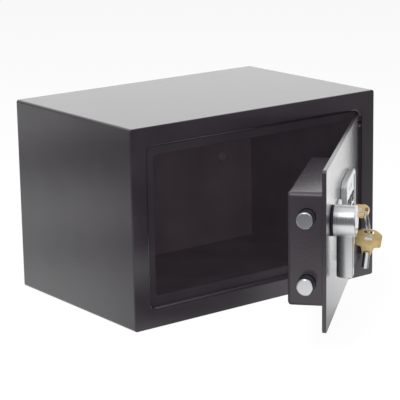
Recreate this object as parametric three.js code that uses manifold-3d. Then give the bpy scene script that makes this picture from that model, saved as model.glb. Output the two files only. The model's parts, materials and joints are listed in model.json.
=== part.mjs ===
// Small steel safe with an electronic lock, its door standing open and its override keys in the lock.
// Lengths are in millimetres and +Z is up. The origin is the middle of the base, and the door is at -Y.

import * as THREE from "three";
import Module from "manifold-3d";
import { mergeVertices } from "three/addons/utils/BufferGeometryUtils.js";

const wasm = await Module();
wasm.setup();

// Body
const bodyWidth = 310;
const bodyDepth = 205;
const bodyHeight = 200;
const shellSheet = 2;
const shellBend = 2.5;
const fixingRadius = 4;
const fixingInset = 45;
const holePlugRadius = 5.4; // of the flange that lies inside the back wall
const holePlugFlange = 1.2;
const holePlugDome = 0.6;

// Gaps that every piece shares
const seam = 0.3; // between pieces that are fixed or seated on each other
const runningGap = 0.5; // round what turns or slides
const overrun = 5; // how far a cutting shape reaches past what it cuts

// Front frame and the door stop behind it
const frameSheet = 1.5;
const frameBorder = 16.5; // flat border round the opening
const frameBend = 4; // outer radius where the border bends into the opening
const openingCorner = 9; // corner radius of the opening where the bend starts
const flangeDepth = 5.1;
const stopSheet = 1.5;
const stopRise = 4.3; // how far the stop stands in from the frame's flange
const stopLip = 3.6; // length of the stop's inner edge, along the depth
const stopEnd = 12; // from the hinge axis to the ends of the stop

// Door plate
const doorThickness = 4;
const doorRecess = 1;
const doorGap = 3;
const doorCorner = 3.5;
const hingeCorner = 6;
const openAngle = THREE.MathUtils.degToRad(41.3);

// Hinge
const rodRadius = 3.5;
const rodGap = 1; // between the hinge rod and the edge of the opening
const rodMargin = 14.5; // from the door's lower and upper edges to the ends of the rod
const hingePinRadius = 2;
const hingePinLength = 4.5;
const bracketSheet = 3;
const bracketDepth = 12;
const bracketTab = 18;
const eyeWall = 1; // steel left round the pin in the bracket

// Cover over the bolt work, on the back of the door
const coverInset = 18.5; // from the door's free edge
const coverDepth = 34.2;
const coverDrop = 2.75; // its middle is this far under the door's middle
const coverSheet = 1.2;
const coverBend = 3;
const coverCornerShare = 0.1; // of the bend, by which the cover's upright corners are rounder
const pillarRadius = 4;
const pillarInset = 7.6;
const freePillarInset = 20; // along the door, on its free side, where no screw head may show past the cover
const screwRadius = 1.75;
const screwBite = 8; // length of thread inside a pillar
const screwHeadRadius = 3.6;
const screwHead = 2;

// Bolts and the carriage that joins them
const boltRadius = 8;
const boltLength = 54;
const boltClearance = 3.3; // between the bolts and the pillars above and below them
const boltSetback = 3.3; // from the door's free edge to the drawn bolts' ends
const boltOffset = 16.2; // from the back of the door plate to the bolts' axes
const boltTravel = 10.5;
const boltChamfer = 0.8;
const carriageSheet = 2.5;
const carriageWidth = 28;
const boltShankRadius = 4; // where the bolt is turned down to be riveted to the carriage
const boltRivetRadius = 5.6;
const boltRivetHead = 1.8;
const studRadius = 3;
const studHeadRadius = 5;
const studHead = 1.5;
const studSpacing = 16;
const studRise = 8; // from the lower bolt's side to the lower guide stud

// Handle
const handleInset = 44.5; // from the door's free edge to the handle's axis
const axisRise = 22.25; // from the cover's middle to the handle's axis
const hubRadius = 15;
const hubLength = 21;
const hubChamfer = 1.2;
const washerRadius = 14.8;
const washerThickness = 1;
const leverWidth = 12;
const leverDepth = 15.7;
const leverReach = 54.1; // from the axis to the lever's tip
const leverStandoff = 3.8; // from the door to the lever
const leverCorner = 3.5;
const leverEdge = 0.8;
const spindleRadius = 4;
const spindleSeat = 12; // length of the spindle inside the hub
const handleThrow = THREE.MathUtils.degToRad(60);
const crankThickness = 3.5;
const crankBoss = 8;
const crankTip = 5;
const crankPinRadius = 2.5;
const crankPinOverhang = 1;

// Solenoid that blocks the carriage when the bolts are thrown
const plungerSpacing = 13.4; // from the carriage's edge to the plunger's axis
const plungerRadius = 3;
const plungerLength = 30;
const collarRadius = 4.6;
const collarThickness = 1;
const collarDrop = 4.7; // from the plunger's tip to the collar
const coilRadius = 9.5;
const coilLength = 26;
const solenoidSheet = 2;
const solenoidWidth = 20;
const springGap = 7.4; // between the solenoid's frame and the collar
const springRadius = 4;
const springWire = 0.35;
const springTurns = 4;
const springSteps = 8; // segments of each turn
const springSides = 5; // sides of the wire
const latchShelfRise = 14.1; // from the upper guide stud's underside to the shelf's top
const shelfMargin = 3.5; // steel left round the latch hole

// Override lock
const lockSpacing = 42; // from the handle's axis
const lockDrop = 1.2; // how far the lock's axis is under the handle's
const lockRadius = 9.3;
const lockFaceRadius = 11;
const lockFace = 2.7;
const lockLength = 21; // from the front of the door inwards
const nutRadius = 12.5;
const nutThickness = 4;
const plugRadius = 6;
const plugTailRadius = 4;
const camReach = 20;
const camThickness = 2;
const camWidth = 8;

// Tubular keys
const keyBowHalf = 13;
const keyBowLength = 18.5;
const keyNeckLength = 7.5;
const keyNeckRoot = 6.4;
const keyNeckEnd = 4.6;
const keySheet = 2.2;
const keyBarrelRadius = 3.5;
const keyBore = 2.5;
const keyBarrelLength = 13;
const keySlotHalf = 5.1;
const keySlotWidth = 2.8;
const keySlotInset = 3.6; // from the bow's end to the middle of the slot
const keyPlateWidth = 7.6;
const keyPlateLength = 3;
const keyPlateInset = 9.4;
const keyPlateRise = 0.3;
const bowCrownShare = 0.54; // of the bow's half width, where its crown ends
const bowBrowShare = 0.12; // of the bow's length, by which the crown's ends lie lower than its middle
const bowCheekShare = 0.31; // of the bow's length, where it is widest
const bowJawShare = 0.92; // of the bow's length, where its sides end
const bowJawWidthShare = 0.95; // of the bow's half width
const keyReach = 30; // from the front of the door to the end of the key in the lock
const keyTilt = THREE.MathUtils.degToRad(12); // of the bow in the lock, from level
const ringRadius = 10.2;
const ringWire = 0.9;
const ringLean = THREE.MathUtils.degToRad(10.4);
const spareLean = THREE.MathUtils.degToRad(6.4);

// Keypad on the front of the door
const keypadSpacing = 20; // from the lock's axis to the housing
const keypadWidth = 74;
const keypadHeight = 80;
const keypadDepth = 5.7;
const keypadCorner = 10;
const keypadEdge = 1.2;
const keypadWall = 2;
const keypadRim = 5;
const keypadRimHeight = 2;
const keypadWeb = 0.7;
const panelThickness = 1;
const panelCorner = 4;
const boardSheet = 1.2;
const buttonGapX = 5; // between two buttons in a row
const buttonGapZ = 4.5;
const buttonSideMargin = 6; // from the rim to the outer columns
const buttonLowMargin = 4.5; // from the rim to the lowest row
const buttonHeadroom = 16; // from the highest row to the rim, for the indicators
const buttonCorner = 2;
const buttonLift = 0.6; // how far a button stands out of the panel, and its travel
const buttonFlange = 1;
const buttonFlangeThickness = 0.7;
const buttonColumns = 3;
const buttonRows = 4;
const indicatorRadius = 2;
const indicatorSpacing = 12;
const indicatorDrop = 7; // from the rim to the middle of an indicator
const cableHole = 5;

// Batteries and the board inside the cover
const batteryRadius = 7.25;
const batteryLength = 50.5;
const batteryPitch = 15;
const batteryCount = 4;
const batteryTip = 1; // the raised contact at a battery's end
const batteryTipRadius = 2.7;
const trayWall = 1.5;
const trayEndGap = 1.2;
const traySpacing = 8.7; // from the lock's axis to the tray
const trayInset = 10.8; // from the tray to the cover's hinge side
const trayRise = 5.5; // from the cover's lower side to the tray
const lidThickness = 2;
const lidLap = 0.6; // how far the lid lies on the tray's rim
const boardShelfDepth = 8.5; // from the tray's rim to the shelf under the control board
const boardShelfSheet = 2;
const boardShelfHeight = 36;
const boardHeadroom = 10.1; // from the shelf to the cover's upper side
const boardWidth = 56;
const boardHeight = 30;
const chipThickness = 1.4;
const chipSize = 9;
const resetRadius = 3;
const resetStand = 1;
const resetTravel = 1.2;

const turn = Math.PI * 2;
const arcSteps = 4; // segments of a rounded corner
const wireSteps = 8; // segments round the key ring's wire
const roundSteps = 24; // segments of a round piece

// Sizes that follow from the ones above
const halfWidth = bodyWidth / 2;
const frontY = -bodyDepth / 2;
const backY = bodyDepth / 2;
const middleZ = bodyHeight / 2;
const wallInset = frameBorder + frameBend;
const hingeX = halfWidth - frameBorder - rodGap - rodRadius;
const hingeY = frontY + doorRecess + rodRadius;

// The door's pieces are placed from the hinge axis, with the door shut:
// X runs towards the hinge and Y inwards.
const plateFrontY = -rodRadius;
const plateBackY = plateFrontY + doorThickness;
const plateBottom = wallInset + doorGap;
const plateTop = bodyHeight - plateBottom;
const freeX = -halfWidth + plateBottom - hingeX;
const plateEndX = -rodRadius - seam;
const handleX = freeX + handleInset;
const lockX = handleX + lockSpacing;

const coverZ = middleZ - coverDrop;
const axisZ = coverZ + axisRise;
const lockZ = axisZ - lockDrop;

// The crank pin swings equally to both sides of its lowest point, and its sideways travel is the bolts'.
const crankRadius = boltTravel / (2 * Math.sin(handleThrow / 2));
const crankRise = crankRadius * Math.cos(handleThrow / 2);
const crankX = handleX + boltTravel / 2;

// The cover is as large as the bolt work on its one side and the battery tray on its other need.
const trayWidth = batteryCount * batteryPitch + seam + 2 * trayWall;
const trayHeight = batteryLength + batteryTip + 2 * trayEndGap + 2 * trayWall;
const trayDepth = 2 * batteryRadius + 2 * seam + trayWall;
const trayX = lockX + traySpacing + trayWidth / 2;

const coverX = freeX + coverInset;
const coverEndX = trayX + trayWidth / 2 + trayInset + coverSheet;
const coverWidth = coverEndX - coverX;
const coverHeight = trayRise + trayHeight + boardShelfHeight + boardHeadroom;
const coverBottom = coverZ - coverHeight / 2;
const coverTop = coverZ + coverHeight / 2;
const coverFrontY = plateBackY + seam;
const coverBackY = coverFrontY + coverDepth;
const coverInsideY = coverBackY - coverSheet;

const boltY = plateBackY + boltOffset;
const boltX = freeX + boltSetback;
const boltEndX = boltX + boltLength;
const boltInset = pillarInset + pillarRadius + boltClearance + boltRadius;
const lowBoltZ = coverBottom + boltInset;
const highBoltZ = coverTop - boltInset;
const carriageY = boltY - boltRadius - seam - carriageSheet;
const carriageBackY = carriageY + carriageSheet;
const tabX = boltEndX + seam;
const carriageEndX = tabX + carriageSheet;
const carriageX = carriageEndX - carriageWidth;
const studX = carriageX + carriageWidth / 2 - boltTravel / 2;
const lowStudZ = lowBoltZ + boltRadius + studRise;
const highStudZ = lowStudZ + studSpacing;

const plungerX = carriageEndX + plungerSpacing;
const coilY = coverFrontY + solenoidSheet + seam + coilRadius;
const shelfTop = lowStudZ + latchShelfRise + carriageSheet;
const shelfBottom = shelfTop - carriageSheet;
const plungerTipZ = shelfBottom - seam;
const collarZ = plungerTipZ - collarDrop - collarThickness;
const solenoidTop = collarZ - springGap;
const solenoidBottom = solenoidTop - 2 * solenoidSheet - coilLength - 2 * seam;

const keypadX = lockX + keypadSpacing + keypadWidth / 2;
const keypadZ = (plateBottom + plateTop) / 2;
const buttonFieldWidth = keypadWidth - 2 * keypadRim - 2 * buttonSideMargin;
const buttonFieldHeight = keypadHeight - 2 * keypadRim - buttonLowMargin - buttonHeadroom;
const buttonWidth = (buttonFieldWidth - (buttonColumns - 1) * buttonGapX) / buttonColumns;
const buttonHeight = (buttonFieldHeight - (buttonRows - 1) * buttonGapZ) / buttonRows;
const buttonPitchX = buttonWidth + buttonGapX;
const buttonPitchZ = buttonHeight + buttonGapZ;
const buttonDrop = keypadHeight / 2 - keypadRim - buttonLowMargin - buttonHeight / 2;
const indicatorRise = keypadHeight / 2 - keypadRim - indicatorDrop;
const lockBackY = plateFrontY + lockLength;

const trayZ = coverBottom + trayRise + trayHeight / 2;
const trayRimY = coverInsideY - seam;
const trayTop = trayZ + trayHeight / 2;
const boardY = trayRimY - boardShelfDepth;
const boardZ = trayTop + boardShelfHeight / 2;

const keyLength = keyBowLength + keyNeckLength + keyBarrelLength;

// Materials
function finish(color, roughness, metalness) {
  return new THREE.MeshStandardMaterial({ color, roughness, metalness });
}

const blackPaint = finish("#232225", 0.38, 0);
const satinSilver = finish("#c3c5c8", 0.32, 1);
const brightSteel = finish("#b9bbbe", 0.24, 1);
const zincSteel = finish("#9a9ca0", 0.45, 1);
const brassGold = finish("#b59a5c", 0.36, 1);
const silverPlastic = finish("#b4b7ba", 0.35, 0.3);
const blackPlastic = finish("#1c1d1f", 0.5, 0);
const greyRubber = finish("#3a3c40", 0.6, 0);
const blackRubber = finish("#151416", 0.55, 0);
const greenBoard = finish("#1f5a3a", 0.45, 0);
const batteryWrap = finish("#3d5876", 0.4, 0.2);
const copperWire = finish("#8e4f2c", 0.4, 0.6);
const amberLens = finish("#7d2a20", 0.2, 0);
const resetRed = finish("#b3261e", 0.4, 0);

// Turns a closed geometry into a solid that can be cut and joined.
function solid(geometry) {
  const bare = new THREE.BufferGeometry();
  bare.setAttribute("position", geometry.getAttribute("position"));
  if (geometry.index) bare.setIndex(geometry.index);
  const merged = mergeVertices(bare);
  return new wasm.Manifold(
    new wasm.Mesh({
      numProp: 3,
      vertProperties: merged.attributes.position.array,
      triVerts: new Uint32Array(merged.index.array),
    }),
  );
}

// Turns a solid back into a geometry.
function geometryOf(made) {
  const mesh = made.getMesh();
  const geometry = new THREE.BufferGeometry();
  geometry.setAttribute("position", new THREE.BufferAttribute(mesh.vertProperties, 3));
  geometry.setIndex(new THREE.BufferAttribute(mesh.triVerts, 1));
  const faceted = geometry.toNonIndexed();
  faceted.computeVertexNormals();
  return faceted;
}

function piece(name, made, material) {
  const mesh = new THREE.Mesh(geometryOf(made), material);
  mesh.name = name;
  return mesh;
}

function joined(pieces) {
  return pieces.reduce((all, next) => all.add(next));
}

function cutBy(made, cutters) {
  return made.subtract(joined(cutters));
}

// A block between two corners.
function block(x0, x1, y0, y1, z0, z1) {
  const box = new THREE.BoxGeometry(x1 - x0, y1 - y0, z1 - z0);
  return solid(box.translate((x0 + x1) / 2, (y0 + y1) / 2, (z0 + z1) / 2));
}

// Round bars along each axis.
function barY(radius, x, z, y0, y1, steps = roundSteps) {
  const bar = new THREE.CylinderGeometry(radius, radius, y1 - y0, steps);
  return solid(bar.translate(x, (y0 + y1) / 2, z));
}

function barX(radius, y, z, x0, x1) {
  const bar = new THREE.CylinderGeometry(radius, radius, x1 - x0, roundSteps);
  return solid(bar.rotateZ(Math.PI / 2).translate((x0 + x1) / 2, y, z));
}

function barZ(radius, x, y, z0, z1) {
  const bar = new THREE.CylinderGeometry(radius, radius, z1 - z0, roundSteps);
  return solid(bar.rotateX(Math.PI / 2).translate(x, y, (z0 + z1) / 2));
}

// A rounded rectangle drawn round a centre, with its own radius at the corners on the +X side.
function roundedRect(width, height, radius, x, z, farRadius = radius) {
  const left = x - width / 2;
  const right = x + width / 2;
  const low = z - height / 2;
  const high = z + height / 2;
  const shape = new THREE.Shape();
  shape.absarc(left + radius, low + radius, radius, Math.PI, 1.5 * Math.PI);
  shape.absarc(right - farRadius, low + farRadius, farRadius, 1.5 * Math.PI, turn);
  shape.absarc(right - farRadius, high - farRadius, farRadius, 0, 0.5 * Math.PI);
  shape.absarc(left + radius, high - radius, radius, 0.5 * Math.PI, Math.PI);
  return shape;
}

// A shape drawn in X and Z, given its thickness along Y from y0 to y1.
function slab(shape, y0, y1) {
  const options = { depth: y1 - y0, bevelEnabled: false, curveSegments: arcSteps };
  const made = new THREE.ExtrudeGeometry(shape, options);
  return solid(made.rotateX(Math.PI / 2).translate(0, y1, 0));
}

// The same with both faces' edges rounded: the shape grows by the radius between its faces.
function roundedSlab(shape, y0, y1, radius) {
  const options = {
    depth: y1 - y0 - 2 * radius,
    bevelEnabled: true,
    bevelThickness: radius,
    bevelSize: radius,
    bevelSegments: arcSteps,
    curveSegments: arcSteps,
  };
  const made = new THREE.ExtrudeGeometry(shape, options);
  return solid(made.rotateX(Math.PI / 2).translate(0, y1 - radius, 0));
}

// A rounded rectangle of the body's own outline, drawn in from its outer faces.
function bodyOutline(inset, radius) {
  return roundedRect(bodyWidth - 2 * inset, bodyHeight - 2 * inset, radius, 0, middleZ);
}

// Everything outside the opening, from a face at y0 back, with the opening's edge rounded.
function aroundOpening(y0, bend) {
  const outline = bodyOutline(-2 * overrun, shellBend);
  outline.holes.push(bodyOutline(frameBorder, openingCorner));
  return roundedSlab(outline, y0, y0 + 2 * bend + 2 * overrun + flangeDepth, bend);
}

// The four walls of the body, folded from one sheet.
function bodyShell() {
  const y0 = frontY + frameSheet + seam;
  const outer = slab(bodyOutline(0, shellBend), y0, backY);
  const inner = slab(bodyOutline(shellSheet, shellBend), y0 - overrun, backY + overrun);
  return outer.subtract(inner);
}

function backPanel() {
  const inset = shellSheet + seam;
  const sheet = slab(bodyOutline(inset, shellBend), backY - shellSheet, backY);
  const holes = [-1, 1].map((side) =>
    barY(fixingRadius, side * (halfWidth - fixingInset), middleZ, backY - overrun, backY + overrun),
  );
  return cutBy(sheet, holes);
}

// The rubber plug that closes a fixing hole from the inside.
function holePlug(side) {
  const flangeBack = backY - shellSheet - seam;
  const profile = [
    new THREE.Vector2(0, 0),
    new THREE.Vector2(fixingRadius - seam, 0),
    new THREE.Vector2(fixingRadius - seam, backY - flangeBack),
    new THREE.Vector2(holePlugRadius, backY - flangeBack),
    new THREE.Vector2(holePlugRadius, backY - flangeBack + holePlugFlange - holePlugDome),
    new THREE.Vector2(holePlugRadius - holePlugDome, backY - flangeBack + holePlugFlange),
    new THREE.Vector2(0, backY - flangeBack + holePlugFlange),
  ];
  const turned = new THREE.LatheGeometry(profile, roundSteps);
  return solid(turned.rotateX(Math.PI).translate(side * (halfWidth - fixingInset), backY, middleZ));
}

// The border round the opening, bent inwards all round but beside the hinge rod.
function frontFrame() {
  const outside = aroundOpening(frontY, frameBend);
  const inside = aroundOpening(frontY + frameSheet, frameBend - frameSheet);
  const sheet = outside.subtract(inside);
  const trimmed = sheet.intersect(slab(bodyOutline(0, shellBend), frontY, frontY + flangeDepth));
  const hingeSide = halfWidth - frameBorder;
  const low = frameBorder + openingCorner;
  const clear = block(
    hingeSide - frameBend - overrun,
    hingeSide,
    frontY - overrun,
    backY,
    low,
    bodyHeight - low,
  );
  return trimmed.subtract(clear);
}

// The angle strip behind the frame on the other three sides, which the shut door meets.
function doorStop() {
  const y0 = frontY + flangeDepth + seam;
  const faceEnd = y0 + stopSheet;
  const edge = wallInset + stopRise;
  const corner = openingCorner - frameBend;
  const face = slab(bodyOutline(wallInset - frameSheet, openingCorner), y0, faceEnd);
  const lip = slab(bodyOutline(edge - stopSheet, corner), y0, faceEnd + stopLip);
  const hole = slab(bodyOutline(edge, corner), y0 - overrun, faceEnd + stopLip + overrun);
  const hingeSide = block(hingeX - stopEnd, halfWidth, frontY, backY, 0, bodyHeight);
  return cutBy(face.add(lip), [hole, hingeSide]);
}

// The bent bracket that holds one of the door's pins, above or below the rod.
function hingeBracket(side) {
  const rodEnd = middleZ + side * (middleZ - plateBottom - rodMargin);
  const near = rodEnd + side * seam;
  const far = near + side * bracketSheet;
  const tabEnd = near + side * bracketTab;
  const low = Math.min(near, far);
  const high = Math.max(near, far);
  const wallX = halfWidth - shellSheet - seam;
  const y0 = frontY + frameSheet + seam;
  const eye = barZ(hingePinRadius + seam + eyeWall, hingeX, hingeY, low, high);
  const arm = block(hingeX, wallX, y0, y0 + bracketDepth, low, high);
  const tab = block(
    wallX - bracketSheet,
    wallX,
    y0,
    y0 + bracketDepth,
    Math.min(near, tabEnd),
    Math.max(near, tabEnd),
  );
  const hole = barZ(hingePinRadius + seam, hingeX, hingeY, low - overrun, high + overrun);
  return cutBy(joined([eye, arm, tab]), [hole]);
}

// The four places where the cover is screwed down.
function pillarPlaces() {
  const places = [];
  for (const x of [coverX + freePillarInset, coverEndX - pillarInset]) {
    for (const z of [coverBottom + pillarInset, coverTop - pillarInset]) {
      places.push([x, z]);
    }
  }
  return places;
}

// The door plate with the cover's pillars welded to its back.
function doorPlate() {
  const width = plateEndX - freeX;
  const outline = roundedRect(
    width,
    plateTop - plateBottom,
    doorCorner,
    freeX + width / 2,
    middleZ,
    hingeCorner,
  );
  const plate = slab(outline, plateFrontY, plateBackY);
  const pillars = pillarPlaces().map(([x, z]) =>
    barY(pillarRadius, x, z, plateBackY - seam, coverInsideY - seam),
  );
  const bores = pillarPlaces().map(([x, z]) =>
    barY(screwRadius + seam, x, z, coverInsideY - screwBite - overrun, coverBackY),
  );
  const front = plateFrontY - overrun;
  const back = plateBackY + overrun;
  const holes = [
    barY(spindleRadius + runningGap, handleX, axisZ, front, back),
    barY(lockRadius + seam, lockX, lockZ, front, back),
    barY(cableHole, keypadX, keypadZ, front, back),
  ];
  return cutBy(joined([plate, ...pillars]), [...bores, ...holes]);
}

// The rod welded down the door's edge, turned down at its ends to the pins.
function hingeRod() {
  const low = plateBottom + rodMargin;
  const high = plateTop - rodMargin;
  const rod = barZ(rodRadius, 0, 0, low, high);
  const pins = barZ(hingePinRadius, 0, 0, low - hingePinLength, high + hingePinLength);
  return rod.add(pins);
}

// The sheet cover, open towards the door plate.
function boltCover() {
  const box = (grow, y0, y1) => {
    const bend = coverBend + grow;
    const shape = roundedRect(
      coverWidth + 2 * grow - 2 * bend,
      coverHeight + 2 * grow - 2 * bend,
      coverBend * coverCornerShare,
      (coverX + coverEndX) / 2,
      coverZ,
    );
    return roundedSlab(shape, y0, y1, bend);
  };
  const outer = box(0, coverFrontY - coverBend - overrun, coverBackY);
  const inner = box(-coverSheet, coverFrontY - coverBend - 2 * overrun, coverInsideY);
  const front = block(
    coverX - overrun,
    coverEndX + overrun,
    coverFrontY - coverBend - 2 * overrun,
    coverFrontY,
    coverBottom - overrun,
    coverTop + overrun,
  );
  const boltHoles = [lowBoltZ, highBoltZ].map((z) =>
    barX(boltRadius + runningGap, boltY, z, coverX - overrun, coverX + overrun),
  );
  const screwHoles = pillarPlaces().map(([x, z]) =>
    barY(screwRadius + seam, x, z, coverInsideY - overrun, coverBackY + overrun),
  );
  const lidHole = block(
    trayX - lidHalfWidth() - seam,
    trayX + lidHalfWidth() + seam,
    coverInsideY - seam,
    coverBackY + overrun,
    trayZ - lidHalfHeight() - seam,
    trayZ + lidHalfHeight() + seam,
  );
  const resetHole = barY(
    resetRadius + runningGap,
    trayX,
    boardZ,
    coverInsideY - seam,
    coverBackY + overrun,
  );
  return cutBy(outer.subtract(inner), [front, ...boltHoles, ...screwHoles, lidHole, resetHole]);
}

function lidHalfWidth() {
  return trayWidth / 2 - trayWall + lidLap;
}

function lidHalfHeight() {
  return trayHeight / 2 - trayWall + lidLap;
}

function coverScrew(x, z) {
  const headY = coverBackY + seam;
  const head = barY(screwHeadRadius, x, z, headY, headY + screwHead);
  const shank = barY(screwRadius, x, z, coverInsideY - screwBite, headY + screwHead / 2);
  return head.add(shank);
}

// A bolt with a chamfered end. Its other end is turned down, goes through the carriage's tab
// and is riveted over behind it.
function bolt(z) {
  const rivet = boltEndX - carriageEndX - seam;
  const profile = [
    new THREE.Vector2(0, rivet - boltRivetHead),
    new THREE.Vector2(boltShankRadius, rivet - boltRivetHead),
    new THREE.Vector2(boltRivetRadius, rivet - boltRivetHead / 2),
    new THREE.Vector2(boltRivetRadius, rivet),
    new THREE.Vector2(boltShankRadius, rivet),
    new THREE.Vector2(boltShankRadius, 0),
    new THREE.Vector2(boltRadius, 0),
    new THREE.Vector2(boltRadius, boltLength - boltChamfer),
    new THREE.Vector2(boltRadius - boltChamfer, boltLength),
    new THREE.Vector2(0, boltLength),
  ];
  const turned = new THREE.LatheGeometry(profile, roundSteps);
  return solid(turned.rotateZ(Math.PI / 2).translate(boltEndX, boltY, z));
}

// The bent plate that carries both bolts, with its guide slots, the crank's slot and the latch shelf.
function boltCarriage() {
  const plate = block(
    carriageX,
    carriageEndX,
    carriageY,
    carriageBackY,
    lowBoltZ - boltRadius,
    highBoltZ + boltRadius,
  );
  const tabs = [lowBoltZ, highBoltZ].map((z) =>
    block(tabX, carriageEndX, carriageY, boltY + boltRadius, z - boltRadius, z + boltRadius),
  );
  const latchX = plungerX + boltTravel;
  const hole = plungerRadius + runningGap;
  const shelf = block(
    tabX,
    latchX + hole + shelfMargin,
    carriageY,
    coilY + hole + shelfMargin,
    shelfBottom,
    shelfTop,
  );
  const latchHole = barZ(hole, latchX, coilY, shelfBottom - overrun, shelfTop + overrun);
  const half = studRadius + runningGap;
  const front = carriageY - overrun;
  const back = carriageBackY + overrun;
  const guides = [lowStudZ, highStudZ].map((z) =>
    block(studX - half, studX + boltTravel + half, front, back, z - half, z + half),
  );
  const shankHoles = [lowBoltZ, highBoltZ].map((z) =>
    barX(boltShankRadius + seam, boltY, z, tabX - overrun, carriageEndX + overrun),
  );
  return cutBy(joined([plate, ...tabs, shelf]), [...guides, crankSlot(), latchHole, ...shankHoles]);
}

// The crank pin rises only a little at the ends of its swing, so its slot is just taller than the pin.
function crankSlot() {
  const half = crankPinRadius + runningGap;
  return block(
    crankX - half,
    crankX + half,
    carriageY - overrun,
    carriageBackY + overrun,
    axisZ - crankRadius - half,
    axisZ - crankRise + half,
  );
}

function guideStud(z) {
  const headY = carriageBackY + seam;
  const shank = barY(studRadius, studX, z, coverFrontY, headY + studHead);
  const head = barY(studHeadRadius, studX, z, headY, headY + studHead);
  return shank.add(head);
}

// The hub and its lever, cast as one.
function handleLever() {
  const hubY = plateFrontY - washerThickness - 2 * seam;
  const profile = [
    new THREE.Vector2(0, 0),
    new THREE.Vector2(hubRadius, 0),
    new THREE.Vector2(hubRadius, hubLength - hubChamfer),
    new THREE.Vector2(hubRadius - hubChamfer, hubLength),
    new THREE.Vector2(0, hubLength),
  ];
  const turned = new THREE.LatheGeometry(profile, 2 * roundSteps);
  const hub = solid(turned.rotateX(Math.PI).translate(handleX, hubY, axisZ));
  const top = axisZ;
  const bottom = axisZ - leverReach;
  const side = roundedRect(
    leverDepth - 2 * leverEdge,
    top - bottom - 2 * leverEdge,
    leverCorner - leverEdge,
    0,
    (top + bottom) / 2,
  );
  const half = leverWidth / 2;
  const leverY = plateFrontY - leverStandoff - leverDepth / 2;
  const lever = roundedSlabX(side, handleX - half, handleX + half, leverEdge, leverY);
  const bore = barY(spindleRadius + seam, handleX, axisZ, hubY - spindleSeat, hubY + overrun);
  return hub.add(lever).subtract(bore);
}

// A shape drawn in Y and Z, with rounded edges, given its thickness along X.
function roundedSlabX(shape, x0, x1, radius, y) {
  const options = {
    depth: x1 - x0 - 2 * radius,
    bevelEnabled: true,
    bevelThickness: radius,
    bevelSize: radius,
    bevelSegments: arcSteps,
    curveSegments: arcSteps,
  };
  const made = new THREE.ExtrudeGeometry(shape, options);
  return solid(made.rotateX(Math.PI / 2).rotateZ(Math.PI / 2).translate(x0 + radius, y, 0));
}

function handleWasher() {
  const y1 = plateFrontY - seam;
  const disc = barY(washerRadius, handleX, axisZ, y1 - washerThickness, y1);
  const hole = barY(spindleRadius + runningGap, handleX, axisZ, y1 - overrun, y1 + overrun);
  return disc.subtract(hole);
}

function handleSpindle() {
  const y0 = plateFrontY - washerThickness - 2 * seam - spindleSeat + seam;
  return barY(spindleRadius, handleX, axisZ, y0, carriageY - seam);
}

// The arm on the spindle's end, with the pin that moves the carriage.
function crankArm() {
  const y1 = carriageY - seam;
  const y0 = y1 - crankThickness;
  const pinZ = axisZ - crankRise;
  const boss = barY(crankBoss, handleX, axisZ, y0, y1);
  const tip = barY(crankTip, crankX, pinZ, y0, y1);
  const pin = barY(crankPinRadius, crankX, pinZ, y0, carriageBackY + crankPinOverhang);
  const bore = barY(spindleRadius + seam, handleX, axisZ, y0 - overrun, y1 + overrun);
  return joined([boss, tip, pin]).subtract(bore);
}

// The solenoid's steel frame, bent from one strip.
function solenoidFrame() {
  const x0 = plungerX - solenoidWidth / 2;
  const x1 = plungerX + solenoidWidth / 2;
  const y1 = coilY + coilRadius;
  const back = block(x0, x1, coverFrontY, coverFrontY + solenoidSheet, solenoidBottom, solenoidTop);
  const upper = block(x0, x1, coverFrontY, y1, solenoidTop - solenoidSheet, solenoidTop);
  const lower = block(x0, x1, coverFrontY, y1, solenoidBottom, solenoidBottom + solenoidSheet);
  const radius = plungerRadius + runningGap;
  const hole = barZ(radius, plungerX, coilY, solenoidBottom - overrun, solenoidTop + overrun);
  return joined([back, upper, lower]).subtract(hole);
}

function solenoidCoil() {
  const z0 = solenoidBottom + solenoidSheet + seam;
  const coil = barZ(coilRadius, plungerX, coilY, z0, z0 + coilLength);
  const bore = barZ(plungerRadius + runningGap, plungerX, coilY, z0 - overrun, z0 + coilLength + overrun);
  return coil.subtract(bore);
}

function solenoidPlunger() {
  const rod = barZ(plungerRadius, plungerX, coilY, plungerTipZ - plungerLength, plungerTipZ);
  const collar = barZ(collarRadius, plungerX, coilY, collarZ, collarZ + collarThickness);
  return rod.add(collar);
}

// A helix for the spring's wire.
class Helix extends THREE.Curve {
  getPoint(t, target = new THREE.Vector3()) {
    const angle = t * springTurns * turn;
    const low = solenoidTop + seam + springWire;
    const high = collarZ - seam - springWire;
    return target.set(
      plungerX + springRadius * Math.cos(angle),
      coilY + springRadius * Math.sin(angle),
      low + t * (high - low),
    );
  }
}

// The least gap between the wire's neighbouring turns, measured on points along the helix.
function leastSpringGap() {
  const points = new Helix().getPoints(springTurns * springSteps);
  let least = Infinity;
  points.forEach((point, index) => {
    for (const other of points.slice(index + springSteps / 2)) {
      least = Math.min(least, point.distanceTo(other));
    }
  });
  return least - 2 * springWire;
}

function plungerSpring() {
  const section = new THREE.Shape();
  for (let side = 0; side < springSides; side += 1) {
    const angle = (side / springSides) * turn;
    const x = springWire * Math.cos(angle);
    const y = springWire * Math.sin(angle);
    if (side === 0) section.moveTo(x, y);
    else section.lineTo(x, y);
  }
  const options = { steps: springTurns * springSteps, bevelEnabled: false, extrudePath: new Helix() };
  return solid(new THREE.ExtrudeGeometry(section, options));
}

// The threaded body of the override lock.
function lockBody() {
  const y0 = plateFrontY - seam - lockFace;
  const face = barY(lockFaceRadius, lockX, lockZ, y0, plateFrontY - seam);
  const barrel = barY(lockRadius, lockX, lockZ, y0, lockBackY);
  const bore = barY(plugRadius + seam, lockX, lockZ, y0 - overrun, lockBackY + overrun);
  return face.add(barrel).subtract(bore);
}

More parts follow.
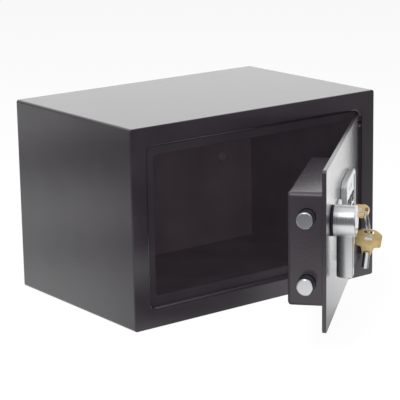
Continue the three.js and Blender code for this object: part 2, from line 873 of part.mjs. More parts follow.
function lockNut() {
  const sides = 6;
  const nutBack = coverFrontY + nutThickness;
  const nut = barY(nutRadius, lockX, lockZ, coverFrontY, nutBack, sides);
  const hole = barY(lockRadius + seam, lockX, lockZ, coverFrontY - overrun, nutBack + overrun);
  return nut.subtract(hole);
}

// The plug that the key turns, with the ring-shaped groove that the key's barrel enters.
function lockPlug() {
  const y0 = plateFrontY - seam - lockFace;
  const camEnd = lockBackY + camThickness + 3 * seam;
  const drum = barY(plugRadius, lockX, lockZ, y0, lockBackY + seam);
  const tail = barY(plugTailRadius, lockX, lockZ, y0, camEnd + seam);
  const depth = keyLength - keyReach + plateFrontY + seam - y0;
  const grooveEnd = plateFrontY + depth;
  const groove = barY(keyBarrelRadius + seam, lockX, lockZ, y0 - overrun, grooveEnd);
  const post = barY(keyBore - seam, lockX, lockZ, y0, grooveEnd + overrun);
  return drum.add(tail).subtract(groove).add(post);
}

function lockCam() {
  const y0 = lockBackY + 2 * seam;
  const y1 = y0 + camThickness;
  const boss = barY(plugTailRadius + camWidth / 2, lockX, lockZ, y0, y1);
  const arm = block(lockX - camWidth / 2, lockX + camWidth / 2, y0, y1, lockZ, lockZ + camReach);
  const hole = barY(plugTailRadius + seam, lockX, lockZ, y0 - overrun, y1 + overrun);
  return boss.add(arm).subtract(hole);
}

// The outline of a key's bow and neck. It runs down from the end of the bow at zero.
function bowOutline() {
  const shoulder = -keyBowLength;
  const crown = keyBowHalf * bowCrownShare;
  const brow = keyBowLength * bowBrowShare;
  const jaw = keyBowHalf * bowJawWidthShare;
  const shape = new THREE.Shape();
  shape.moveTo(-crown, -brow);
  shape.quadraticCurveTo(0, brow, crown, -brow);
  shape.lineTo(keyBowHalf, -keyBowLength * bowCheekShare);
  shape.lineTo(jaw, -keyBowLength * bowJawShare);
  shape.lineTo(keyNeckRoot, shoulder);
  shape.lineTo(keyNeckEnd, shoulder - keyNeckLength);
  shape.lineTo(-keyNeckEnd, shoulder - keyNeckLength);
  shape.lineTo(-keyNeckRoot, shoulder);
  shape.lineTo(-jaw, -keyBowLength * bowJawShare);
  shape.lineTo(-keyBowHalf, -keyBowLength * bowCheekShare);
  shape.closePath();
  return shape;
}

// A key drawn in X and Z with its bow upwards and its flat faces across Y.
// The end of its bow is at the origin.
function key() {
  const bow = slab(bowOutline(), -keySheet / 2, keySheet / 2);
  const neckEnd = -keyBowLength - keyNeckLength;
  const barrel = barZ(keyBarrelRadius, 0, 0, neckEnd - keyBarrelLength, neckEnd + keyNeckLength / 2);
  const bore = barZ(keyBore, 0, 0, neckEnd - keyBarrelLength - overrun, neckEnd);
  const plateHalf = keySheet / 2 + keyPlateRise;
  const plate = block(
    -keyPlateWidth / 2,
    keyPlateWidth / 2,
    -plateHalf,
    plateHalf,
    -keyPlateInset - keyPlateLength / 2,
    -keyPlateInset + keyPlateLength / 2,
  );
  const slotShape = roundedRect(2 * keySlotHalf, keySlotWidth, keySlotWidth / 2 - seam, 0, -keySlotInset);
  const slot = slab(slotShape, -keySheet, keySheet);
  return joined([bow, barrel, plate]).subtract(bore).subtract(slot);
}

function keyRing() {
  const torus = new THREE.TorusGeometry(ringRadius, ringWire, wireSteps, 2 * roundSteps);
  return solid(torus.rotateX(Math.PI / 2));
}

// Depths on the keypad run outwards from the front of the door plate.
const housingBack = seam;
const housingFront = housingBack + keypadDepth;
const recessFloor = housingFront - keypadRimHeight;
const webBack = recessFloor - keypadWeb;
const panelBack = recessFloor + seam;
const panelFront = panelBack + panelThickness;
const flangeFront = webBack - seam;
const buttonFront = panelFront + buttonLift;

function keypadSlab(width, height, radius, inner, outer) {
  const shape = roundedRect(width, height, radius, keypadX, keypadZ);
  return slab(shape, plateFrontY - outer, plateFrontY - inner);
}

// The middle of each button, in rows from the top.
function buttonPlaces() {
  const places = [];
  for (let row = 0; row < buttonRows; row += 1) {
    for (let column = 0; column < buttonColumns; column += 1) {
      const x = keypadX + (column - (buttonColumns - 1) / 2) * buttonPitchX;
      const z = keypadZ - buttonDrop + (buttonRows - 1 - row) * buttonPitchZ;
      places.push([x, z]);
    }
  }
  return places;
}

function indicatorPlaces() {
  return [-1, 1].map((side) => [keypadX + (side * indicatorSpacing) / 2, keypadZ + indicatorRise]);
}

function buttonSlab(x, z, grow, inner, outer) {
  const shape = roundedRect(
    buttonWidth + 2 * grow,
    buttonHeight + 2 * grow,
    buttonCorner,
    x,
    z,
  );
  return slab(shape, plateFrontY - outer, plateFrontY - inner);
}

function keypadHousing() {
  const edge = keypadEdge;
  const shape = roundedRect(
    keypadWidth - 2 * edge,
    keypadHeight - 2 * edge,
    keypadCorner - edge,
    keypadX,
    keypadZ,
  );
  const outer = roundedSlab(shape, plateFrontY - housingFront, plateFrontY + overrun, edge);
  const back = block(
    keypadX - keypadWidth,
    keypadX + keypadWidth,
    plateFrontY - housingBack,
    plateFrontY + 2 * overrun,
    keypadZ - keypadHeight,
    keypadZ + keypadHeight,
  );
  const pocket = keypadSlab(
    keypadWidth - 2 * keypadWall,
    keypadHeight - 2 * keypadWall,
    keypadCorner - keypadWall,
    -overrun,
    webBack,
  );
  const recess = keypadSlab(
    keypadWidth - 2 * keypadRim,
    keypadHeight - 2 * keypadRim,
    panelCorner + seam,
    recessFloor,
    housingFront + overrun,
  );
  const wells = buttonPlaces().map(([x, z]) => buttonSlab(x, z, seam, 0, housingFront));
  return cutBy(outer, [back, pocket, recess, ...wells]);
}

function keypadPanel() {
  const plate = keypadSlab(
    keypadWidth - 2 * keypadRim - 2 * seam,
    keypadHeight - 2 * keypadRim - 2 * seam,
    panelCorner,
    panelBack,
    panelFront,
  );
  const wells = buttonPlaces().map(([x, z]) => buttonSlab(x, z, seam, 0, housingFront));
  const holes = indicatorPlaces().map(([x, z]) =>
    barY(indicatorRadius + seam, x, z, plateFrontY - housingFront, plateFrontY),
  );
  return cutBy(plate, [...wells, ...holes]);
}

function keypadBoard() {
  const inset = keypadWall + seam;
  return keypadSlab(
    keypadWidth - 2 * inset,
    keypadHeight - 2 * inset,
    keypadCorner - inset,
    seam,
    seam + boardSheet,
  );
}

function button(x, z) {
  const cap = buttonSlab(x, z, 0, flangeFront - buttonFlangeThickness, buttonFront);
  const flange = buttonSlab(x, z, buttonFlange, flangeFront - buttonFlangeThickness, flangeFront);
  return cap.add(flange);
}

function indicator(x, z) {
  return barY(indicatorRadius, x, z, plateFrontY - panelFront - seam, plateFrontY - panelBack);
}

// The tray that holds the batteries, with a shelf above them for the control board.
function batteryTray() {
  const y0 = trayRimY - trayDepth;
  const outer = block(
    trayX - trayWidth / 2,
    trayX + trayWidth / 2,
    y0,
    trayRimY,
    trayZ - trayHeight / 2,
    trayTop,
  );
  const inner = block(
    trayX - trayWidth / 2 + trayWall,
    trayX + trayWidth / 2 - trayWall,
    y0 + trayWall,
    trayRimY + overrun,
    trayZ - trayHeight / 2 + trayWall,
    trayTop - trayWall,
  );
  const shelf = block(
    trayX - trayWidth / 2,
    trayX + trayWidth / 2,
    boardY - boardShelfSheet,
    boardY,
    trayTop - trayWall,
    trayTop + boardShelfHeight,
  );
  return outer.subtract(inner).add(shelf);
}

function batteryX(index) {
  return trayX + (index - (batteryCount - 1) / 2) * batteryPitch;
}

// Neighbouring batteries face opposite ways.
function battery(index) {
  const way = index % 2 === 0 ? 1 : -1;
  const y = trayRimY - seam - batteryRadius;
  const bottom = trayZ - (way * (batteryLength + batteryTip)) / 2;
  const end = bottom + way * batteryLength;
  const tip = end + way * batteryTip;
  const x = batteryX(index);
  const can = barZ(batteryRadius, x, y, Math.min(bottom, end), Math.max(bottom, end));
  const contact = barZ(batteryTipRadius, x, y, Math.min(bottom, tip), Math.max(bottom, tip));
  return can.add(contact);
}

function batteryLid() {
  const y0 = trayRimY + seam;
  return block(
    trayX - lidHalfWidth(),
    trayX + lidHalfWidth(),
    y0,
    y0 + lidThickness,
    trayZ - lidHalfHeight(),
    trayZ + lidHalfHeight(),
  );
}

// The control board with its chip and the base of the reset switch.
function controlBoard() {
  const y0 = boardY + seam;
  const y1 = y0 + boardSheet;
  const board = block(
    trayX - boardWidth / 2,
    trayX + boardWidth / 2,
    y0,
    y1,
    boardZ - boardHeight / 2,
    boardZ + boardHeight / 2,
  );
  const chipX = trayX + boardWidth / 4;
  const chip = block(
    chipX - chipSize / 2,
    chipX + chipSize / 2,
    y0,
    y1 + chipThickness,
    boardZ - chipSize / 2,
    boardZ + chipSize / 2,
  );
  const base = block(
    trayX - resetRadius,
    trayX + resetRadius,
    y0,
    y1 + chipThickness,
    boardZ - resetRadius,
    boardZ + resetRadius,
  );
  return joined([board, chip, base]);
}

function resetButton() {
  const y0 = boardY + seam + boardSheet + chipThickness + resetTravel + seam;
  return barY(resetRadius, trayX, boardZ, y0, coverBackY + resetStand);
}

// The body stands still; everything on the door hangs in one group that turns about the hinge axis.
const safe = new THREE.Group();
safe.add(
  piece("body_shell", bodyShell(), blackPaint),
  piece("back_panel", backPanel(), blackPaint),
  piece("hole_plug_left", holePlug(-1), blackRubber),
  piece("hole_plug_right", holePlug(1), blackRubber),
  piece("front_frame", frontFrame(), blackPaint),
  piece("door_stop", doorStop(), blackPaint),
  piece("hinge_bracket_lower", hingeBracket(-1), zincSteel),
  piece("hinge_bracket_upper", hingeBracket(1), zincSteel),
);

const door = new THREE.Group();
door.position.set(hingeX, hingeY, 0);
door.rotation.z = openAngle;
safe.add(door);

door.add(
  piece("door_plate", doorPlate(), blackPaint),
  piece("hinge_rod", hingeRod(), blackPaint),
  piece("bolt_cover", boltCover(), blackPaint),
  piece("guide_stud_lower", guideStud(lowStudZ), zincSteel),
  piece("guide_stud_upper", guideStud(highStudZ), zincSteel),
  piece("bolt_lower", bolt(lowBoltZ), brightSteel),
  piece("bolt_upper", bolt(highBoltZ), brightSteel),
  piece("bolt_carriage", boltCarriage(), zincSteel),
  piece("handle_lever", handleLever(), satinSilver),
  piece("handle_washer", handleWasher(), blackPlastic),
  piece("handle_spindle", handleSpindle(), zincSteel),
  piece("crank_arm", crankArm(), zincSteel),
  piece("solenoid_frame", solenoidFrame(), zincSteel),
  piece("solenoid_coil", solenoidCoil(), copperWire),
  piece("solenoid_plunger", solenoidPlunger(), brightSteel),
  piece("plunger_spring", plungerSpring(), brightSteel),
  piece("lock_body", lockBody(), brightSteel),
  piece("lock_nut", lockNut(), zincSteel),
  piece("lock_plug", lockPlug(), brightSteel),
  piece("lock_cam", lockCam(), zincSteel),
  piece("keypad_housing", keypadHousing(), silverPlastic),
  piece("keypad_panel", keypadPanel(), blackPlastic),
  piece("keypad_board", keypadBoard(), greenBoard),
  piece("battery_tray", batteryTray(), blackPlastic),
  piece("battery_lid", batteryLid(), blackPlastic),
  piece("control_board", controlBoard(), greenBoard),
  piece("reset_button", resetButton(), resetRed),
);

pillarPlaces().forEach(([x, z], index) => {
  door.add(piece(`cover_screw_${index + 1}`, coverScrew(x, z), zincSteel));
});

const buttonNames = ["1", "2", "3", "4", "5", "6", "7", "8", "9", "clear", "0", "enter"];
buttonPlaces().forEach(([x, z], index) => {
  door.add(piece(`button_${buttonNames[index]}`, button(x, z), greyRubber));
});

indicatorPlaces().forEach(([x, z], index) => {
  door.add(piece(`indicator_${index + 1}`, indicator(x, z), amberLens));
});

for (let index = 0; index < batteryCount; index += 1) {
  door.add(piece(`battery_${index + 1}`, battery(index), batteryWrap));
}

// The key in the lock points inwards, with its bow a little off level.
const lockedKey = new THREE.Group();
lockedKey.position.set(lockX, plateFrontY - keyReach, lockZ);
const keyInLock = piece("key_in_lock", key(), brassGold);
keyInLock.rotation.x = Math.PI / 2;
const keyTurn = new THREE.Group();
keyTurn.rotation.y = -keyTilt;
keyTurn.add(keyInLock);
lockedKey.add(keyTurn);
door.add(lockedKey);

// The ring goes through the key's slot and round the strip between the slot and the bow's edge.
const slotY = plateFrontY - keyReach + keySlotInset;
const stripMiddle = (keySlotHalf + bowHalfAt(keySlotInset)) / 2;
const stripHalf = (bowHalfAt(keySlotInset) - keySlotHalf) / 2;
const ringInner = ringRadius - ringWire;
const ringDrop = Math.sqrt(ringInner ** 2 - stripHalf ** 2) - keySheet / 2 - seam;

// Half of the bow's width at a distance from its end, on the slanted part of the outline.
function bowHalfAt(distance) {
  const along = (distance / keyBowLength - bowBrowShare) / (bowCheekShare - bowBrowShare);
  return keyBowHalf * (bowCrownShare + (1 - bowCrownShare) * along);
}

const ringHang = new THREE.Group();
ringHang.position.set(
  lockX - stripMiddle * Math.cos(keyTilt) + ringDrop * Math.sin(keyTilt),
  slotY,
  lockZ - stripMiddle * Math.sin(keyTilt) - ringDrop * Math.cos(keyTilt) + ringRadius,
);
ringHang.rotation.x = -ringLean;
door.add(ringHang);

const ring = piece("key_ring", keyRing(), brightSteel);
ring.position.z = -ringRadius;
ringHang.add(ring);

// The spare key hangs from the ring's lowest point, square to the ring.
const spareHang = new THREE.Group();
spareHang.position.z = -2 * ringRadius;
spareHang.rotation.x = ringLean + spareLean;
ringHang.add(spareHang);
const spareKey = piece("spare_key", key(), brassGold);
spareKey.rotation.z = Math.PI / 2;
spareKey.position.z = keySlotInset;
spareHang.add(spareKey);

console.log(`spring: least gap between turns ${leastSpringGap().toFixed(2)} mm`);

export default safe;
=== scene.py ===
"""A small black steel safe with an electronic lock, its door standing open.

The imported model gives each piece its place. Lengths are in metres, +Z is up and the door side is at -Y.
Pieces on the door are made as if it were shut, in a frame of their own whose origin is on the hinge axis:
X runs towards the hinge, Y inwards and Z up. One matrix then puts them where the open door is.
"""

import json
import math

import bmesh
import bpy
from mathutils import Matrix, Vector


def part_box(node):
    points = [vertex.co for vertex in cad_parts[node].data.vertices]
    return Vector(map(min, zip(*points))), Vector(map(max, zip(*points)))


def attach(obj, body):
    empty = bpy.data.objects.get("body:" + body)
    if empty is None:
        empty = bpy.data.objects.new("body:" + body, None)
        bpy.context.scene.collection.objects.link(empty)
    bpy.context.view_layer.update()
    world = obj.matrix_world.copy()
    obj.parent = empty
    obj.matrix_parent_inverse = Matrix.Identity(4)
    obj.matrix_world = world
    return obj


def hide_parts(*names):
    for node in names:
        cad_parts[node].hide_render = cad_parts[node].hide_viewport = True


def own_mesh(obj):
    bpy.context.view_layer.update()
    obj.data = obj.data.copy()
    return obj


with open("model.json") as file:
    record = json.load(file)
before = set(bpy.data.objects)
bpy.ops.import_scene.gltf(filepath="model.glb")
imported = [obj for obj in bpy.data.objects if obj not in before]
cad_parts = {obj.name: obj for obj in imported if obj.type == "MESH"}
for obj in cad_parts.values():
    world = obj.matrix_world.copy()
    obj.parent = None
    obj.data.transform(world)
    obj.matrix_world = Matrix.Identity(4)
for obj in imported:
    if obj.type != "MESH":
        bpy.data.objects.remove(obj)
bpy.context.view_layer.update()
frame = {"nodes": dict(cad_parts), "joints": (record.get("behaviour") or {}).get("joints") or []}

NODES = frame["nodes"]
JOINTS = {joint["name"]: joint for joint in frame["joints"]}
BODY_LOW, BODY_HIGH = (Vector(corner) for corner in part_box("body_shell"))

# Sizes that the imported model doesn't hold by themselves. Those of one piece stand above its function.
HAIR = 0.00002  # left between pieces that touch
SHEET_EDGE = 0.0003  # rounding of a cut sheet's edge
PAINT_EDGE = 0.0006  # a cut edge under thick powder coat
EDGE_MIDDLE = 0.3  # how far in the middle of a rounded edge stands, as a share of its rounding
BODY_BEND = 0.0025
BODY_SHEET = 0.002
FRAME_BORDER = 0.0165
FRAME_SHEET = 0.0015
FRAME_BEND = 0.004
OPENING_CORNER = 0.009
FIXING_HOLE = 0.004
LOCK_BARREL = 0.0093
SPINDLE_GAP = 0.0005
KEY_SLOT_INSET = 0.0036

CORNER_STEPS = 8
BEND_STEPS = 8
SOFT_STEPS = 5
ROUND_STEPS = 96
NEARLY_STRAIGHT = math.radians(89)  # half the angle at a corner that needs no arc


# Places


def hinge_place():
    """The door's own frame at rest. It is turned by as much as the hinge can still close."""
    hinge = JOINTS["door_hinge"]
    open_angle = math.radians(-hinge["range_deg"][0])
    return Matrix.Translation(hinge["pos_m"]) @ Matrix.Rotation(open_angle, 4, "Z")


DOOR = hinge_place()
HERE = Matrix.Identity(4)
UPRIGHT = Matrix.Rotation(math.radians(90), 4, "X")  # stands up in X and Z what is drawn in X and Y


def along_y(point):
    """The place of a turned piece whose axis runs along Y through a point."""
    return Matrix.Translation((point.x, 0, point.z))


def local_box(node, place):
    """A node's lowest and highest corners in a frame of its own."""
    back = place.inverted()
    points = [back @ vertex.co for vertex in NODES[node].data.vertices]
    low = Vector([min(point[axis] for point in points) for axis in range(3)])
    high = Vector([max(point[axis] for point in points) for axis in range(3)])
    return low, high


def on_door(node):
    return local_box(node, DOOR)


def node_centre(node):
    low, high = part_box(node)
    return (Vector(low) + Vector(high)) / 2


def door_joint(name):
    """Where a joint's axis passes, seen from the door's own frame."""
    return DOOR.inverted() @ Vector(JOINTS[name]["pos_m"])


# Outlines: closed loops of points in a plane


def filleted(corners, steps=CORNER_STEPS):
    """A loop through corners of (x, y, radius), each rounded by an arc."""
    loop = []
    count = len(corners)
    for index, (x, y, radius) in enumerate(corners):
        here = Vector((x, y))
        before = Vector(corners[index - 1][:2])
        after = Vector(corners[(index + 1) % count][:2])
        to_before = (before - here).normalized()
        to_after = (after - here).normalized()
        half = to_before.angle(to_after) / 2
        if radius <= 0 or half > NEARLY_STRAIGHT:
            loop.append(here)
            continue
        centre = here + (to_before + to_after).normalized() * (radius / math.sin(half))
        start = here + to_before * (radius / math.tan(half)) - centre
        end = here + to_after * (radius / math.tan(half)) - centre
        sweep = start.angle_signed(end)
        for step in range(steps + 1):
            turn = Matrix.Rotation(-sweep * step / steps, 2)
            loop.append(centre + turn @ start)
    return loop


def rounded_rect(x0, x1, y0, y1, radius, steps=CORNER_STEPS):
    corners = [(x0, y0, radius), (x1, y0, radius), (x1, y1, radius), (x0, y1, radius)]
    return filleted(corners, steps)


def inset_rect(low, high, inset, radius, steps=CORNER_STEPS):
    """A rounded rectangle in X and Z, set in from the sides of a box."""
    return rounded_rect(low.x + inset, high.x - inset, low.z + inset, high.z - inset, radius, steps)


def circle(x, y, radius, steps=ROUND_STEPS):
    turns = [2 * math.pi * step / steps for step in range(steps)]
    return [Vector((x + radius * math.cos(t), y + radius * math.sin(t))) for t in turns]


def at_depth(loop, y):
    """A loop drawn in X and Z, as points in space at one depth."""
    return [Vector((point.x, y, point.y)) for point in loop]


def quarter(steps, first=0):
    """The cosine and sine at even steps through a quarter turn."""
    turns = [math.pi / 2 * step / steps for step in range(first, steps + 1)]
    return [(math.cos(turn), math.sin(turn)) for turn in turns]


def arc(radius, y, size, start, end, steps=SOFT_STEPS):
    """Profile points of a rounded corner: angles from the radius direction towards +Y, in degrees."""
    points = []
    for step in range(steps + 1):
        turn = math.radians(start + (end - start) * step / steps)
        points.append((radius + size * math.cos(turn), y + size * math.sin(turn)))
    return points


# Meshes


def new_piece(name, data):
    made = bpy.data.objects.new(name, data)
    bpy.context.scene.collection.objects.link(made)
    return made


def from_bmesh(name, work):
    bmesh.ops.recalc_face_normals(work, faces=work.faces)
    mesh = bpy.data.meshes.new(name)
    work.to_mesh(mesh)
    work.free()
    return new_piece(name, mesh)


def baked(piece):
    """The piece with its modifiers or curve turned into a plain mesh."""
    depsgraph = bpy.context.evaluated_depsgraph_get()
    mesh = bpy.data.meshes.new_from_object(piece.evaluated_get(depsgraph), depsgraph=depsgraph)
    name = piece.name
    bpy.data.objects.remove(piece)
    mesh.name = name
    return new_piece(name, mesh)


def welded(piece, distance):
    """The piece with its doubled points merged and its faces turned outwards."""
    work = bmesh.new()
    work.from_mesh(piece.data)
    bmesh.ops.remove_doubles(work, verts=work.verts, dist=distance)
    bmesh.ops.recalc_face_normals(work, faces=work.faces)
    work.to_mesh(piece.data)
    work.free()
    return piece


def placed(piece, place):
    piece.data.transform(place)
    return piece


def drawn(name, loops, closed, **settings):
    """A curve of straight runs through points, as a plain mesh."""
    curve = bpy.data.curves.new(name, "CURVE")
    for setting, value in settings.items():
        setattr(curve, setting, value)
    for loop in loops:
        spline = curve.splines.new("POLY")
        spline.points.add(len(loop) - 1)
        for point, place in zip(spline.points, loop):
            point.co = (*Vector(place).to_3d(), 1)
        spline.use_cyclic_u = closed
    return baked(new_piece(name, curve))


def plate(name, loops, y0, y1, edge):
    """A plate in X and Z between two depths. Loops inside the first are holes, and every edge is rounded."""
    piece = drawn(
        name,
        loops,
        closed=True,
        dimensions="2D",
        fill_mode="BOTH",
        extrude=(y1 - y0) / 2 - edge,
        bevel_depth=edge,
        bevel_resolution=2,
        offset=-edge,
    )
    return placed(welded(piece, edge / 50), Matrix.Translation((0, (y0 + y1) / 2, 0)) @ UPRIGHT)


def tube(name, points, radius):
    """A round wire through points, with closed ends."""
    settings = {"bevel_depth": radius, "bevel_resolution": 4, "use_fill_caps": True}
    piece = drawn(name, [points], closed=False, dimensions="3D", **settings)
    return welded(piece, radius / 100)


def skin(work, ring, following):
    """Faces between two rings of points, or round a pole where one of them is a single point."""
    count = max(len(ring), len(following))
    for index in range(count if count > 1 else 0):
        after = (index + 1) % count
        near = [ring[index % len(ring)], ring[after % len(ring)]]
        far = [following[after % len(following)], following[index % len(following)]]
        work.faces.new(list(dict.fromkeys(near + far)))


def loft(name, rings, closed=False):
    """A skin over rings that all have the same number of points. Open ends are filled."""
    work = bmesh.new()
    made = [[work.verts.new(point) for point in ring] for ring in rings]
    spans = list(zip(made, made[1:]))
    if closed:
        spans.append((made[-1], made[0]))
    for ring, following in spans:
        skin(work, ring, following)
    if not closed:
        work.faces.new(made[0])
        work.faces.new(made[-1])
    return from_bmesh(name, work)


def lathe(name, profile, place, closed=False, steps=ROUND_STEPS):
    """A turned piece round Y at a place. The profile is a list of (radius, y)."""
    work = bmesh.new()
    turns = [2 * math.pi * step / steps for step in range(steps)]
    rings = []
    for radius, y in profile:
        points = [(radius * math.cos(t), y, radius * math.sin(t)) for t in turns]
        if radius <= 0:
            points = [(0, y, 0)]
        rings.append([work.verts.new(point) for point in points])
    pairs = list(zip(rings, rings[1:]))
    if closed:
        pairs.append((rings[-1], rings[0]))
    for ring, following in pairs:
        skin(work, ring, following)
    return placed(from_bmesh(name, work), place)


def block(name, low, high, edge, steps=3):
    """A box with rounded edges."""
    work = bmesh.new()
    bmesh.ops.create_cube(work, size=1)
    for vertex in work.verts:
        for axis in range(3):
            vertex.co[axis] = high[axis] if vertex.co[axis] > 0 else low[axis]
    bmesh.ops.bevel(work, geom=work.edges, offset=edge, segments=steps, profile=0.5, affect="EDGES")
    return from_bmesh(name, work)


def joined(name, pieces):
    """Several meshes as one piece, side by side."""
    work = bmesh.new()
    for piece in pieces:
        work.from_mesh(piece.data)
        bpy.data.objects.remove(piece)
    mesh = bpy.data.meshes.new(name)
    work.to_mesh(mesh)
    work.free()
    return new_piece(name, mesh)


def carved(piece, tool, operation="DIFFERENCE"):
    """The piece after a boolean with a tool, which is used up."""
    modifier = piece.modifiers.new("carve", "BOOLEAN")
    modifier.operation = operation
    modifier.solver = "EXACT"
    modifier.object = tool
    done = baked(piece)
    bpy.data.objects.remove(tool)
    return done


# Materials

# Widths of the patterns. Real grit, flakes, scratches, tool marks and mould textures are a few times finer
# than the ones here, which are as coarse as they have to be to show.
MM = 0.001
ORANGE_PEEL = 1.6 * MM
POWDER_GRIT = 0.6 * MM
POWDER_CLOUD = 50 * MM
CASTING_FLAKE = 0.4 * MM
CASTING_HAZE = 12 * MM
ZINC_PATCH = 4 * MM
ZINC_SCRATCH = 0.6 * MM
BRASS_RUB = 7 * MM
BRASS_GRIT = 0.5 * MM
PLASTIC_CLOUD = 20 * MM
INK_SPECK = 0.3 * MM
LENS_DEPTHS = 1 * MM
SLEEVE_SHEEN = 4 * MM
BOARD_TRACKS = 20 * MM
COIL_WIRE = 0.4 * MM
BOLT_TURNING = 0.3 * MM
HANDLE_TURNING = 0.4 * MM

NOISE_RANGE = {1: 0.3, 2: 0.7}  # a map range's inputs for the values between which a noise mostly stays


def linear(hex_colour):
    """An sRGB hex colour as the linear values that Blender's sockets take."""
    values = [int(hex_colour[index : index + 2], 16) / 255 for index in (1, 3, 5)]
    return (*[v / 12.92 if v <= 0.04045 else ((v + 0.055) / 1.055) ** 2.4 for v in values], 1)


def add(tree, kind, inputs=None, stops=None, **settings):
    """Adds a node with its settings, a ramp's stops, and inputs set to values or linked to what is before."""
    made = tree.nodes.new(kind)
    for name, value in settings.items():
        setattr(made, name, value)
    for name, value in (inputs or {}).items():
        if isinstance(value, bpy.types.Node):
            value = value.outputs[0]
        if isinstance(value, bpy.types.NodeSocket):
            tree.links.new(value, made.inputs[name])
        else:
            made.inputs[name].default_value = value
    for index, (position, colour) in enumerate((stops or {}).items()):
        made.color_ramp.elements[index].position = position
        made.color_ramp.elements[index].color = linear(colour)
    return made


def new_material(name):
    made = bpy.data.materials.new(name)
    made.use_nodes = True
    made.node_tree.nodes.clear()
    return made, made.node_tree


def surfaced(made, look):
    """The material with its one shader, whose inputs are the look."""
    shader = add(made.node_tree, "ShaderNodeBsdfPrincipled", look)
    add(made.node_tree, "ShaderNodeOutputMaterial", {"Surface": shader})
    return made


def object_space(tree, place=None):
    """Object coordinates, turned into a piece's own frame where a pattern follows the piece."""
    coordinates = add(tree, "ShaderNodeTexCoord").outputs["Object"]
    if place is None:
        return coordinates
    back = place.inverted()
    turned = {"Vector": coordinates, "Location": back.translation, "Rotation": back.to_euler()}
    return add(tree, "ShaderNodeMapping", turned)


def powder_coat(name, dark, light, roughness, gloss):
    """Polyester powder coat, baked: a smooth dark skin with a faint orange peel and finer grit in it.

    It mirrors softly from the front and strongly at a glance, which the clear outer layer gives.
    Copies of it serve as painted light and shade: a lighter one without the clear layer on the walls inside,
    for light that the dark inside lacks, and a duller one on the door stop, so that its recess reads as
    shaded.
    """
    made, tree = new_material(name)
    space = object_space(tree)
    waves = add(tree, "ShaderNodeTexNoise", {"Vector": space, "Scale": 1 / ORANGE_PEEL, "Detail": 1.0})
    grit = add(tree, "ShaderNodeTexNoise", {"Vector": space, "Scale": 1 / POWDER_GRIT, "Roughness": 0.6})
    clouds = add(tree, "ShaderNodeTexNoise", {"Vector": space, "Scale": 1 / POWDER_CLOUD})
    rolling = add(tree, "ShaderNodeBump", {"Height": waves, "Distance": 0.00009, "Strength": 1.0})
    rough = {"Height": grit, "Distance": 0.000012, "Strength": 0.8, "Normal": rolling}
    skin_normal = add(tree, "ShaderNodeBump", rough)
    satin = {**NOISE_RANGE, 0: grit, 3: roughness - 0.03, 4: roughness + 0.05}
    look = {
        "Base Color": add(tree, "ShaderNodeValToRGB", {0: clouds}, stops={0.35: dark, 0.65: light}),
        "Roughness": add(tree, "ShaderNodeMapRange", satin),
        "IOR": 1.5,
        "Specular IOR Level": 0.25,
        "Coat Weight": gloss,
        "Coat Roughness": 0.15,
        "Coat IOR": 1.5,
        "Normal": skin_normal,
        "Coat Normal": skin_normal,
    }
    return surfaced(made, look)


def turned_metal(name, colour, roughness, place, pitch):
    """Metal finished on a lathe. Fine rings round the frame's Y, or circles on an end, vary its gloss."""
    made, tree = new_material(name)
    parts = add(tree, "ShaderNodeSeparateXYZ", {0: object_space(tree, place)}).outputs
    flat = add(tree, "ShaderNodeCombineXYZ", {0: parts[0], 1: parts[2]})
    radius = add(tree, "ShaderNodeVectorMath", {0: flat}, operation="LENGTH").outputs["Value"]
    path = add(tree, "ShaderNodeMath", {0: radius, 1: parts[1]}, operation="ADD")
    line = add(tree, "ShaderNodeCombineXYZ", {0: path})
    marks = {"Vector": line, "Scale": 1 / pitch, "Detail": 3.0, "Roughness": 0.7}
    rings = add(tree, "ShaderNodeTexNoise", marks)
    satin = {**NOISE_RANGE, 0: rings, 3: roughness - 0.05, 4: roughness + 0.05}
    look = {
        "Base Color": linear(colour),
        "Metallic": 1.0,
        "Roughness": add(tree, "ShaderNodeMapRange", satin),
        "Normal": add(tree, "ShaderNodeBump", {"Height": rings, "Distance": 0.000002, "Strength": 0.4}),
    }
    return surfaced(made, look)


def satin_casting(name, colour, roughness):
    """Die-cast zinc under a satin silver finish: even, soft and slightly sparkling."""
    made, tree = new_material(name)
    space = object_space(tree)
    flake = add(tree, "ShaderNodeTexNoise", {"Vector": space, "Scale": 1 / CASTING_FLAKE, "Detail": 1.0})
    haze = add(tree, "ShaderNodeTexNoise", {"Vector": space, "Scale": 1 / CASTING_HAZE})
    satin = {**NOISE_RANGE, 0: haze, 3: roughness - 0.04, 4: roughness + 0.05}
    look = {
        "Base Color": linear(colour),
        "Metallic": 1.0,
        "Roughness": add(tree, "ShaderNodeMapRange", satin),
        "Normal": add(tree, "ShaderNodeBump", {"Height": flake, "Distance": 0.000006, "Strength": 0.6}),
    }
    return surfaced(made, look)


def zinc_plate(name):
    """Bright zinc on pressed steel: a cool grey with cloudy patches and fine scratches."""
    made, tree = new_material(name)
    space = object_space(tree)
    patches = add(tree, "ShaderNodeTexVoronoi", {"Vector": space, "Scale": 1 / ZINC_PATCH}).outputs["Color"]
    tone = add(tree, "ShaderNodeSeparateXYZ", {0: patches})
    fine = {"Vector": space, "Scale": 1 / ZINC_SCRATCH, "Detail": 4.0, "Roughness": 0.8}
    scratch = add(tree, "ShaderNodeTexNoise", fine)
    look = {
        "Base Color": add(tree, "ShaderNodeValToRGB", {0: tone}, stops={0.0: "#9da1a5", 1.0: "#b9bdc0"}),
        "Metallic": 1.0,
        "Roughness": add(tree, "ShaderNodeMapRange", {**NOISE_RANGE, 0: scratch, 3: 0.34, 4: 0.5}),
        "Normal": add(tree, "ShaderNodeBump", {"Height": scratch, "Distance": 0.000008, "Strength": 0.5}),
    }
    return surfaced(made, look)


